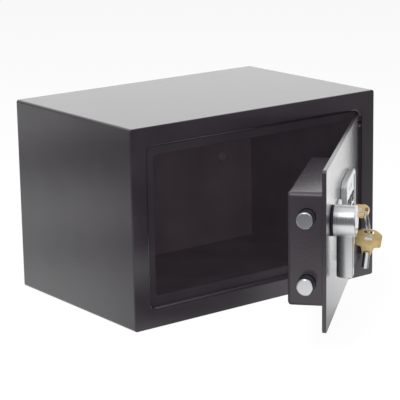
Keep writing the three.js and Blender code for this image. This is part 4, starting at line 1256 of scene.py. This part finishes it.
def make_key(prefix, body, node, place):
    """A tubular key: a brass bow, a blank tile on each of its faces, and a plated barrel."""
    bow = key_bow(f"{prefix}_bow")
    finish(placed(bow, place), body, BRASS, [node], sharp=40)
    tiles = key_tiles(f"{prefix}_tile")
    finish(placed(tiles, place), body, NICKEL)
    barrel = key_barrel(f"{prefix}_barrel")
    finish(placed(barrel, place), body, NICKEL, sharp=30)


KEY_TILT = math.radians(12)
RING_LEAN = math.radians(10.4)
SPARE_LEAN = math.radians(6.4)


def make_keys():
    """The key in the lock, and the spare key that hangs from it on the ring."""
    lock = door_joint("lock_turn")
    low, _ = on_door("key_in_lock")
    in_lock = DOOR @ Matrix.Translation((lock.x, low.y, lock.z))
    in_lock = in_lock @ Matrix.Rotation(-KEY_TILT, 4, "Y") @ UPRIGHT
    make_key("key_in_lock", "key", "key_in_lock", in_lock)
    spare = DOOR @ Matrix.Translation(door_joint("spare_key_swing"))
    spare = spare @ Matrix.Rotation(SPARE_LEAN, 4, "X")
    spare = spare @ Matrix.Translation((0, 0, KEY_SLOT_INSET)) @ Matrix.Rotation(math.radians(90), 4, "Z")
    make_key("spare_key", "spare_key", "spare_key", spare)


RING_START = math.radians(20)
RING_TURNS = 1.96
RING_STEPS = 128
RING_CROSSING = 0.42  # where along the wire it starts to cross to its second turn
RING_CROSSING_LENGTH = 0.16
RING_CLOSENESS = 0.98  # of the wire's thickness, by which its two turns stand apart


def make_key_ring():
    """The split ring: a round wire in nearly two turns that lie side by side."""
    place = DOOR @ Matrix.Translation(door_joint("ring_turn")) @ Matrix.Rotation(-RING_LEAN, 4, "X")
    low, high = local_box("key_ring", place)
    thickness = (high.y - low.y) / 2
    wire = thickness / 2
    radius = (high.x - low.x) / 2 - thickness
    points = []
    for step in range(RING_STEPS + 1):
        share = step / RING_STEPS
        angle = 2 * math.pi * RING_TURNS * share + RING_START
        climb = min(max((share - RING_CROSSING) / RING_CROSSING_LENGTH, 0), 1)
        offset = (climb * climb * (3 - 2 * climb) - 0.5) * 2 * wire * RING_CLOSENESS
        points.append((radius * math.cos(angle), offset, radius * math.sin(angle)))
    ring = placed(tube("split_ring", points, wire), place)
    finish(ring, "key_ring", NICKEL, ["key_ring"], sharp=60)


# The keypad

KEYPAD_RIM = 0.005
KEYPAD_CORNER = 0.010
KEYPAD_EDGE = 0.0012
LIP_WIDTH = 0.0006  # the rim's inner lip, which ends flush with the rim's width
LIP_MIDDLE = (0.0004, 0.0002)  # in from the lip's start, and down
LIP_DEPTH = 0.0008
PANEL_CORNER = 0.004
PANEL_EDGE = 0.0002
BUTTON_CORNER = 0.002
BUTTON_GAP = 0.0003
BUTTON_FLANGE = 0.001
BUTTON_ROUND = 0.0005
BUTTON_DOME = (0.0014, 0.00004)  # how far in the dome's flat starts, and how far it stands up
SIGN_SIZE = 0.0068
SIGN_DEPTH = 0.00006
SIGN_MERGE = 0.000005
LENS_DOME = ((0.5, 0.06), (0.85, 0.22), (1, 0.45))  # shares of the lens's radius and depth
INDICATORS = ("indicator_1", "indicator_2")
BUTTONS = {name: name for name in "1234567890"}
BUTTONS["clear"] = "*"
BUTTONS["enter"] = "#"


def make_keypad_housing():
    """The silver-painted rim, with a soft outer edge and a small lip down to the panel."""
    low, high = on_door("keypad_housing")
    panel_high = on_door("keypad_panel")[1]
    soft = KEYPAD_EDGE

    def ring(inset, y):
        return at_depth(inset_rect(low, high, inset, KEYPAD_CORNER - inset), y)

    rings = [ring(0, high.y), ring(0, low.y + soft)]
    for cosine, sine in quarter(SOFT_STEPS, first=1):
        rings.append(ring(soft * (1 - cosine), low.y + soft - soft * sine))
    lip = KEYPAD_RIM - LIP_WIDTH
    rings.append(ring(lip, low.y))
    rings.append(ring(lip + LIP_MIDDLE[0], low.y + LIP_MIDDLE[1]))
    rings.append(ring(KEYPAD_RIM, low.y + LIP_DEPTH))
    rings.append(ring(KEYPAD_RIM, panel_high.y - HAIR))
    housing = loft("keypad_bezel", rings)
    door_piece(housing, "door", SILVER_PLASTIC, ["keypad_housing"], sharp=30)


def make_keypad_panel():
    """The smoked panel, with a hole for each button and each indicator."""
    low, high = on_door("keypad_panel")
    outline = rounded_rect(low.x, high.x, low.z, high.z, PANEL_CORNER)
    holes = []
    for name in BUTTONS:
        cap_low, cap_high = on_door(f"button_{name}")
        holes.append(inset_rect(cap_low, cap_high, BUTTON_FLANGE - BUTTON_GAP, BUTTON_CORNER, steps=5))
    for node in INDICATORS:
        lens_low, lens_high = on_door(node)
        centre = (lens_low + lens_high) / 2
        holes.append(circle(centre.x, centre.z, (lens_high.z - lens_low.z) / 2 + BUTTON_GAP, steps=48))
    panel = plate("keypad_face", [outline, *holes], low.y, high.y, PANEL_EDGE)
    door_piece(panel, "door", SMOKED_PANEL, ["keypad_panel"])


def make_indicators():
    """Two domed lenses over the lamps."""
    for index, node in enumerate(INDICATORS, start=1):
        low, high = on_door(node)
        radius = (high.z - low.z) / 2
        depth = high.y - low.y
        profile = [(0, low.y)]
        profile += [(radius * across, low.y + depth * down) for across, down in LENS_DOME]
        profile += [(radius, high.y), (0, high.y)]
        lens = lathe(f"indicator_lens_{index}", profile, along_y((low + high) / 2), steps=40)
        door_piece(lens, "door", LENS, [node], sharp=50)


def make_button(name, sign):
    """A rubber cap with a soft domed edge and its printed sign. Its flange is hidden, so it isn't made."""
    low, high = on_door(f"button_{name}")

    def ring(inset, y):
        return at_depth(inset_rect(low, high, BUTTON_FLANGE + inset, BUTTON_CORNER - inset, steps=5), y)

    rings = [ring(0, high.y)]
    for cosine, sine in quarter(SOFT_STEPS):
        rings.append(ring(BUTTON_ROUND * (1 - cosine), low.y + BUTTON_ROUND - BUTTON_ROUND * sine))
    rings.append(ring(BUTTON_DOME[0], low.y - BUTTON_DOME[1]))
    cap = loft(f"button_cap_{name}", rings)
    door_piece(cap, f"button_{name}", GREY_RUBBER, [f"button_{name}"], sharp=50)
    text = bpy.data.curves.new(f"sign_{name}", "FONT")
    text.body = sign
    text.size = SIGN_SIZE
    text.extrude = SIGN_DEPTH
    text.align_x = "CENTER"
    text.align_y = "CENTER"
    mark = baked(new_piece(f"button_sign_{name}", text))
    heights = [vertex.co.y for vertex in mark.data.vertices]
    middle = Vector((0, (min(heights) + max(heights)) / 2, 0))
    centre = Vector(((low.x + high.x) / 2, low.y - SIGN_DEPTH, (low.z + high.z) / 2))
    place = Matrix.Translation(centre) @ UPRIGHT @ Matrix.Translation(-middle)
    mark = placed(mark, place)
    door_piece(welded(mark, SIGN_MERGE), f"button_{name}", WHITE_INK)


# What repeats, made by geometry nodes


def node_group(name, inputs):
    """A geometry nodes tree with named inputs, and its group input."""
    tree = bpy.data.node_groups.new(name, "GeometryNodeTree")
    tree.interface.new_socket("Geometry", in_out="INPUT", socket_type="NodeSocketGeometry")
    for label, kind in inputs.items():
        tree.interface.new_socket(label, in_out="INPUT", socket_type=kind)
    tree.interface.new_socket("Geometry", in_out="OUTPUT", socket_type="NodeSocketGeometry")
    return tree, add(tree, "NodeGroupInput").outputs


def closed_tree(tree, shape, finish_input):
    """The tree with its end: instances made real, and the material of its input on them."""
    real = add(tree, "GeometryNodeRealizeInstances", {"Geometry": shape})
    painted = add(tree, "GeometryNodeSetMaterial", {"Geometry": real, "Material": finish_input})
    add(tree, "NodeGroupOutput", {0: painted})
    return tree


def scattered(name, points, tree, values):
    """A mesh of points run through a tree, as a plain mesh."""
    mesh = bpy.data.meshes.new(name)
    mesh.from_pydata(points, [], [])
    piece = new_piece(name, mesh)
    modifier = piece.modifiers.new("pattern", "NODES")
    modifier.node_group = tree
    sockets = {item.name: item.identifier for item in tree.interface.items_tree if item.in_out == "INPUT"}
    for label, value in values.items():
        modifier[sockets[label]] = value
    return baked(piece)


TURN_SEED = 7


def repeated_tree(name):
    """One copy of an object at each point, each turned by its own seeded angle about an axis."""
    inputs = {
        "Copy": "NodeSocketObject",
        "Turn": "NodeSocketFloat",
        "Axis": "NodeSocketVector",
        "Finish": "NodeSocketMaterial",
    }
    tree, entry = node_group(name, inputs)
    points = add(tree, "GeometryNodeMeshToPoints", {"Mesh": entry["Geometry"]})
    source = add(tree, "GeometryNodeObjectInfo", {"Object": entry["Copy"]}).outputs["Geometry"]
    seeded = {"Max": entry["Turn"], "Seed": TURN_SEED}
    angle = add(tree, "FunctionNodeRandomValue", seeded, data_type="FLOAT").outputs[1]
    turned = add(tree, "FunctionNodeAxisAngleToRotation", {"Axis": entry["Axis"], "Angle": angle})
    spread = {"Points": points, "Instance": source, "Rotation": turned}
    return closed_tree(tree, add(tree, "GeometryNodeInstanceOnPoints", spread), entry["Finish"])


SCREW_HEAD = 0.002
LOW_HEAD = 0.0008  # the photograph shows no head past the cover, so the heads seen are lower than the solids'
HEAD_SIDE = 0.35  # of the head's height, which is upright
HEAD_ROUND = 0.5
HEAD_ROUND_START = 0.45
RECESS_ARM = 0.55  # of the head's radius
RECESS_HALF = 0.0004
RECESS_FLOOR = 0.4  # of the head's height
RECESS_TOOL = 1.5
RECESS_EDGE = 0.0001


def screw_head(radius, height):
    """A pan head with a cross recess, its seat at the origin and its top at +Y."""
    round_size = height * HEAD_ROUND
    profile = [(0, 0), (radius, 0), (radius, height * HEAD_SIDE)]
    profile += arc(radius - round_size, height * HEAD_ROUND_START, round_size, 0, 90)
    profile += [(0, height)]
    head = lathe("screw_head", profile, HERE, steps=40)
    arm = radius * RECESS_ARM
    low = Vector((-arm, height * RECESS_FLOOR, -RECESS_HALF))
    high = Vector((arm, height * RECESS_TOOL, RECESS_HALF))
    for turn in (0, 90):
        blade = block("blade", low, high, RECESS_EDGE, steps=1)
        head = carved(head, placed(blade, Matrix.Rotation(math.radians(turn), 4, "Y")))
    return head


def make_cover_screws(tree):
    """The heads of the cover's four screws, each turned as it happened to be driven."""
    nodes = [f"cover_screw_{index}" for index in range(1, 5)]
    boxes = [on_door(node) for node in nodes]
    places = []
    for low, high in boxes:
        centre = (low + high) / 2
        places.append(Vector((centre.x, high.y - SCREW_HEAD, centre.z)))
    head = screw_head((high.x - low.x) / 2, LOW_HEAD)
    values = {"Copy": head, "Turn": math.pi, "Axis": (0, 1, 0), "Finish": ZINC}
    screws = scattered("cover_screw_heads", places, tree, values)
    bpy.data.objects.remove(head)
    door_piece(screws, "door", ZINC, nodes, sharp=30)


LID_EDGE = 0.0004
LID_RIB = 0.0004
RIB_HALF = 0.0006
RIB_EDGE = 0.0003
RIB_SHARE = 0.3  # of the lid's width, to each side of its middle
RIB_COUNT = 6
RIB_START = 0.006  # below the lid's upper end
RIB_PITCH = 0.0026


def make_battery_lid(tree):
    """The lid with grip ribs at the end where the thumb slides it."""
    low, high = on_door("battery_lid")
    lid = block("lid_plate", low, high - Vector((0, LID_RIB, 0)), LID_EDGE)
    side = (high.x - low.x) * RIB_SHARE
    rib = block("rib", Vector((-side, 0, -RIB_HALF)), Vector((side, 2 * LID_RIB, RIB_HALF)), RIB_EDGE)
    x, y = (low.x + high.x) / 2, high.y - 2 * LID_RIB
    places = [Vector((x, y, high.z - RIB_START - index * RIB_PITCH)) for index in range(RIB_COUNT)]
    values = {"Copy": rib, "Turn": 0.0, "Axis": (0, 1, 0), "Finish": BLACK_PLASTIC}
    ribs = scattered("ribs", places, tree, values)
    bpy.data.objects.remove(rib)
    lid = joined("battery_cover", [lid, ribs])
    door_piece(lid, "battery_lid", BLACK_PLASTIC, ["battery_lid"])


SPRING_WIRE = 0.00035
SPRING_TURNS = 4.0
SPRING_STEPS = 24  # along each turn
WIRE_STEPS = 10  # round the wire
SPRING_MERGE = 0.000001


def spring_tree(name):
    """A round-wire spring on a helix, from named sizes."""
    sizes_in = dict.fromkeys(("Turns", "Radius", "Height", "Wire"), "NodeSocketFloat")
    tree, entry = node_group(name, {**sizes_in, "Finish": "NodeSocketMaterial"})
    path = {
        "Resolution": SPRING_STEPS,
        "Rotations": entry["Turns"],
        "Start Radius": entry["Radius"],
        "End Radius": entry["Radius"],
        "Height": entry["Height"],
    }
    helix = add(tree, "GeometryNodeCurveSpiral", path)
    wire = add(tree, "GeometryNodeCurvePrimitiveCircle", {"Resolution": WIRE_STEPS, "Radius": entry["Wire"]})
    swept = {"Curve": helix, "Profile Curve": wire, "Fill Caps": True}
    return closed_tree(tree, add(tree, "GeometryNodeCurveToMesh", swept), entry["Finish"])


def make_plunger_spring():
    """The spring under the plunger's collar, which is pressed shorter as the plunger is drawn in."""
    low, high = on_door("plunger_spring")
    wire = SPRING_WIRE
    centre = (low + high) / 2
    values = {
        "Turns": SPRING_TURNS,
        "Radius": (high.x - low.x) / 2 - wire,
        "Height": high.z - low.z - 2 * wire,
        "Wire": wire,
        "Finish": NICKEL,
    }
    spring = scattered("return_spring", [(0, 0, 0)], spring_tree("round_wire_spring"), values)
    placed(spring, Matrix.Translation((centre.x, centre.y, low.z + wire)))
    spring = welded(spring, SPRING_MERGE)
    spring = door_piece(spring, "plunger", NICKEL, ["plunger_spring"], sharp=60)
    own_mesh(spring)


# What lies inside the cover

CELL_ROUND = 0.0005
CONTACT_RADIUS = 0.0027
CONTACT_HEIGHT = 0.001
CONTACT_EDGE = 0.0002


def make_batteries():
    """Four cells in their printed sleeves. Every second one stands on its contact."""
    for index in range(1, 5):
        low, high = on_door(f"battery_{index}")
        centre = (low + high) / 2
        radius = (high.x - low.x) / 2
        length = high.z - low.z - CONTACT_HEIGHT
        shoulder = radius - CELL_ROUND
        top = length + CONTACT_HEIGHT
        profile = [(0, 0), (shoulder, 0)]
        profile += arc(shoulder, CELL_ROUND, CELL_ROUND, -90, 0, 3)
        profile += arc(shoulder, length - CELL_ROUND, CELL_ROUND, 0, 90, 3)
        profile += [(CONTACT_RADIUS, length), (CONTACT_RADIUS, top - CONTACT_EDGE)]
        profile += [(CONTACT_RADIUS - CONTACT_EDGE, top), (0, top)]
        place = Matrix.Translation((centre.x, centre.y, low.z))
        if index % 2 == 0:
            place = Matrix.Translation((centre.x, centre.y, high.z))
            place = place @ Matrix.Rotation(math.radians(180), 4, "Y")
        wrap = cell_wrap("printed_cell_sleeve", DOOR @ place)
        cell = lathe(f"battery_cell_{index}", profile, place @ UPRIGHT, steps=48)
        door_piece(cell, "door", wrap, [f"battery_{index}"])


RESET_ROUND = 0.0006
RESET_ARC_START = 15  # degrees: the side leans into the round


def make_reset_button():
    """The small red cap on the cover."""
    low, high = on_door("reset_button")
    radius = (high.x - low.x) / 2
    soft = RESET_ROUND
    profile = [(0, low.y), (radius, low.y), (radius, high.y - soft)]
    profile += arc(radius - soft, high.y - soft, soft, RESET_ARC_START, 90)
    profile += [(0, high.y)]
    cap = lathe("reset_cap", profile, along_y((low + high) / 2), steps=48)
    door_piece(cap, "reset_button", RED_PLASTIC, ["reset_button"])


def dress_inner_nodes():
    """Materials for the nodes that stay as they are, all inside the cover or the keypad."""
    steel = ["guide_stud_lower", "guide_stud_upper", "bolt_carriage", "handle_spindle"]
    steel += ["crank_arm", "solenoid_frame", "lock_nut", "lock_cam"]
    finishes = {
        ZINC: steel,
        NICKEL: ["solenoid_plunger"],
        COPPER: ["solenoid_coil"],
        BLACK_PLASTIC: ["battery_tray"],
        BOARD: ["control_board", "keypad_board"],
    }
    for finish_material, nodes in finishes.items():
        for node in nodes:
            dress(node, finish_material)


# The studio

CAMERA_AT = (-1.03318, -1.37864, 0.51856)
CAMERA_AZIMUTH = math.radians(-36.915)
CAMERA_ELEVATION = math.radians(14.052)
CAMERA_ROLL = math.radians(-1.0)
FOCAL_SHARE = 1686.2 / 400  # focal length against the sensor's width
SENSOR_WIDTH = 36  # millimetres


def make_camera():
    """A camera at the photograph's place, azimuth, elevation and slight roll."""
    out = math.cos(CAMERA_ELEVATION)
    x, y = -math.sin(CAMERA_AZIMUTH) * out, math.cos(CAMERA_AZIMUTH) * out
    forward = Vector((x, y, -math.sin(CAMERA_ELEVATION)))
    level = forward.cross(Vector((0, 0, 1))).normalized()
    above = level.cross(forward)
    right = math.cos(CAMERA_ROLL) * level + math.sin(CAMERA_ROLL) * above
    up = -math.sin(CAMERA_ROLL) * level + math.cos(CAMERA_ROLL) * above
    data = bpy.data.cameras.new("photograph_camera")
    data.sensor_width = SENSOR_WIDTH
    data.lens = SENSOR_WIDTH * FOCAL_SHARE
    camera = new_piece("photograph_camera", data)
    turn = Matrix((right, up, -forward)).transposed().to_4x4()
    camera.matrix_world = Matrix.Translation(CAMERA_AT) @ turn
    bpy.context.scene.camera = camera


def softbox(name, at, towards, width, height, power, mirrored=False, shadow=True):
    """A soft lamp. Mirrors show it only where that is asked, because the world and floor hold the rest."""
    data = bpy.data.lights.new(name, "AREA")
    data.shape = "RECTANGLE"
    data.size = width
    data.size_y = height
    data.energy = power
    data.use_shadow = shadow
    lamp = new_piece(name, data)
    lamp.location = at
    lamp.rotation_euler = (Vector(towards) - Vector(at)).to_track_quat("-Z", "Y").to_euler()
    lamp.visible_camera = False
    lamp.visible_glossy = mirrored


def slope(tree, vector, direction, start, end, low, high):
    """A value that changes smoothly along a direction, between two distances or cosines."""
    along = add(tree, "ShaderNodeVectorMath", {0: vector, 1: direction}, operation="DOT_PRODUCT")
    inputs = {0: along.outputs["Value"], 1: start, 2: end, 3: low, 4: high}
    return add(tree, "ShaderNodeMapRange", inputs, interpolation_type="SMOOTHSTEP")


def pool(tree, place, centre, inner, outer, brightness):
    """A round pool of light that fades outwards. A negative brightness makes it a shadow."""
    away = add(tree, "ShaderNodeVectorMath", {0: place, 1: centre}, operation="DISTANCE")
    inputs = {0: away.outputs["Value"], 1: inner, 2: outer, 3: brightness, 4: 0.0}
    return add(tree, "ShaderNodeMapRange", inputs, interpolation_type="SMOOTHSTEP")


def mirrored_ray(tree, path):
    """One where a ray comes from a mirror or through glass."""
    inputs = {0: path["Is Glossy Ray"], 1: path["Is Transmission Ray"]}
    return add(tree, "ShaderNodeMath", inputs, operation="MAXIMUM")


WHITE = linear("#ffffff")
FLOOR_HALF = 6.0
FLOOR_DROP = 0.0005
FLOOR_WHITENESS = 0.9
FLOOR_DIM = 0.2
FLOOR_LEAST = 0.03
# Each pool has its centre, the distances in metres where it starts and ends to fade, and its brightness
FLOOR_POOLS = [
    ((0.05, 0.12, 0), 0.2, 0.46, 0.92),
    ((0.85, 0.2, 0), 0.45, 0.8, 1.15),
    ((-0.5, 1.1, 0), 0.3, 0.65, 0.8),
    ((-0.4, 0.42, 0), 0.05, 0.3, 0.95),
    ((-0.64, 0.5, 0), 0.12, 0.4, -0.58),
    ((-0.13, -0.43, 0), 0.12, 0.32, 0.87),
    ((-0.05, -0.165, 0), 0.04, 0.13, -0.75),
    ((0.35, -0.75, 0), 0.1, 0.4, -0.17),
]


def white_floor(name):
    """A matt white table top. What mirrors see of it are pools of light round the object."""
    made, tree = new_material(name)
    path = add(tree, "ShaderNodeLightPath").outputs
    place = object_space(tree)
    glow = FLOOR_DIM
    for spot in FLOOR_POOLS:
        glow = add(tree, "ShaderNodeMath", {0: glow, 1: pool(tree, place, *spot)}, operation="ADD")
    glow = add(tree, "ShaderNodeMath", {0: glow, 1: FLOOR_LEAST}, operation="MAXIMUM")
    lit = add(tree, "ShaderNodeBsdfDiffuse", {"Color": linear("#fafafa")})
    bounce = add(tree, "ShaderNodeBsdfDiffuse", {"Color": linear("#8c8c8c")})
    bright = add(tree, "ShaderNodeEmission", {"Color": WHITE, "Strength": 1.0})
    mirror = add(tree, "ShaderNodeEmission", {"Color": WHITE, "Strength": glow})
    seen = add(tree, "ShaderNodeMixShader", {0: FLOOR_WHITENESS, 1: lit, 2: bright})
    direct = add(tree, "ShaderNodeMixShader", {0: path["Is Camera Ray"], 1: bounce, 2: seen})
    final = add(tree, "ShaderNodeMixShader", {0: mirrored_ray(tree, path), 1: direct, 2: mirror})
    add(tree, "ShaderNodeOutputMaterial", {"Surface": final})
    return made


def make_floor():
    """A wide floor a hair below the safe."""
    mesh = bpy.data.meshes.new("studio_floor")
    half = FLOOR_HALF
    corners = [(x, y, -FLOOR_DROP) for x, y in ((-half, -half), (half, -half), (half, half), (-half, half))]
    mesh.from_pydata(corners, [], [(0, 1, 2, 3)])
    mesh.materials.append(white_floor("white_studio_floor"))
    new_piece("studio_floor", mesh)


# Each slope has a direction, the two cosines along it, and the brightness at each
SKY = ((0.33, 0.44, 0.85), -0.15, 0.3, 0.5, 0.92)
SKY_BACK = ((0.6, 0.8, 0), 0.45, 0.95, 1.0, 1.28)
SKY_LEFT = ((0.9, 0.2, 0.38), -0.35, 0.1, 0.4, 1.0)
SKY_GAP = ((0.38, 0.56, 0.74), 0.1, 0.3, -0.6)  # a dark gap between the lit wall and the ceiling
WORLD_AMBIENT = 0.2


def make_world():
    """White to the camera. Mirrors see a bright sky, brighter behind, and a dim room on the camera's side."""
    world = bpy.data.worlds.new("soft_studio")
    world.use_nodes = True
    tree = world.node_tree
    tree.nodes.clear()
    path = add(tree, "ShaderNodeLightPath").outputs
    direction = add(tree, "ShaderNodeTexCoord").outputs["Generated"]
    glow = slope(tree, direction, *SKY)
    for part in (SKY_BACK, SKY_LEFT):
        glow = add(tree, "ShaderNodeMath", {0: glow, 1: slope(tree, direction, *part)}, operation="MULTIPLY")
    glow = add(tree, "ShaderNodeMath", {0: glow, 1: pool(tree, direction, *SKY_GAP)}, operation="ADD")
    mirrored = add(tree, "ShaderNodeBackground", {"Color": WHITE, "Strength": glow})
    ambient = add(tree, "ShaderNodeBackground", {"Color": WHITE, "Strength": WORLD_AMBIENT})
    white = add(tree, "ShaderNodeBackground", {"Color": WHITE, "Strength": 1.0})
    unseen = add(tree, "ShaderNodeMixShader", {0: mirrored_ray(tree, path), 1: ambient, 2: mirrored})
    final = add(tree, "ShaderNodeMixShader", {0: path["Is Camera Ray"], 1: unseen, 2: white})
    add(tree, "ShaderNodeOutputWorld", {"Surface": final})
    bpy.context.scene.world = world


LAMP_TARGET = (0, 0, 0.1)
LOW_LEFT_TARGET = (0, -0.2, 0.1)


def make_lamps():
    """A ceiling, a key and an even fill from the camera's side, and a lamp that the left side mirrors."""
    softbox("overhead", at=(-0.3, 0.1, 1.9), towards=LAMP_TARGET, width=1.6, height=1.2, power=24)
    softbox("front_key", at=(-1.3, -1.75, 0.66), towards=LAMP_TARGET, width=0.5, height=0.5, power=11)
    fill = {"width": 1.0, "height": 1.0, "power": 42, "shadow": False}
    softbox("even_fill", at=(-0.9, -1.6, 1.25), towards=LAMP_TARGET, **fill)
    left = {"width": 0.6, "height": 0.75, "power": 2.8, "mirrored": True}
    softbox("high_left", at=(-0.74, -0.5, 1.22), towards=LOW_LEFT_TARGET, **left)


make_camera()
make_floor()
make_world()
make_lamps()
bpy.context.scene.view_settings.view_transform = "Standard"

make_body_shell()
make_back_panel()
make_hole_plugs()
make_front_frame()
make_door_stop()
make_hinge_brackets()
make_door_plate()
make_cover_pillars()
make_hinge_rod()
make_bolt_cover()
make_bolts()
make_handle()
make_handle_washer()
make_lock()
make_keys()
make_key_ring()
make_keypad_housing()
make_keypad_panel()
make_indicators()
for button_name, button_sign in BUTTONS.items():
    make_button(button_name, button_sign)
copies = repeated_tree("copies_at_points")
make_cover_screws(copies)
make_battery_lid(copies)
make_plunger_spring()
make_batteries()
make_reset_button()
dress_inner_nodes()
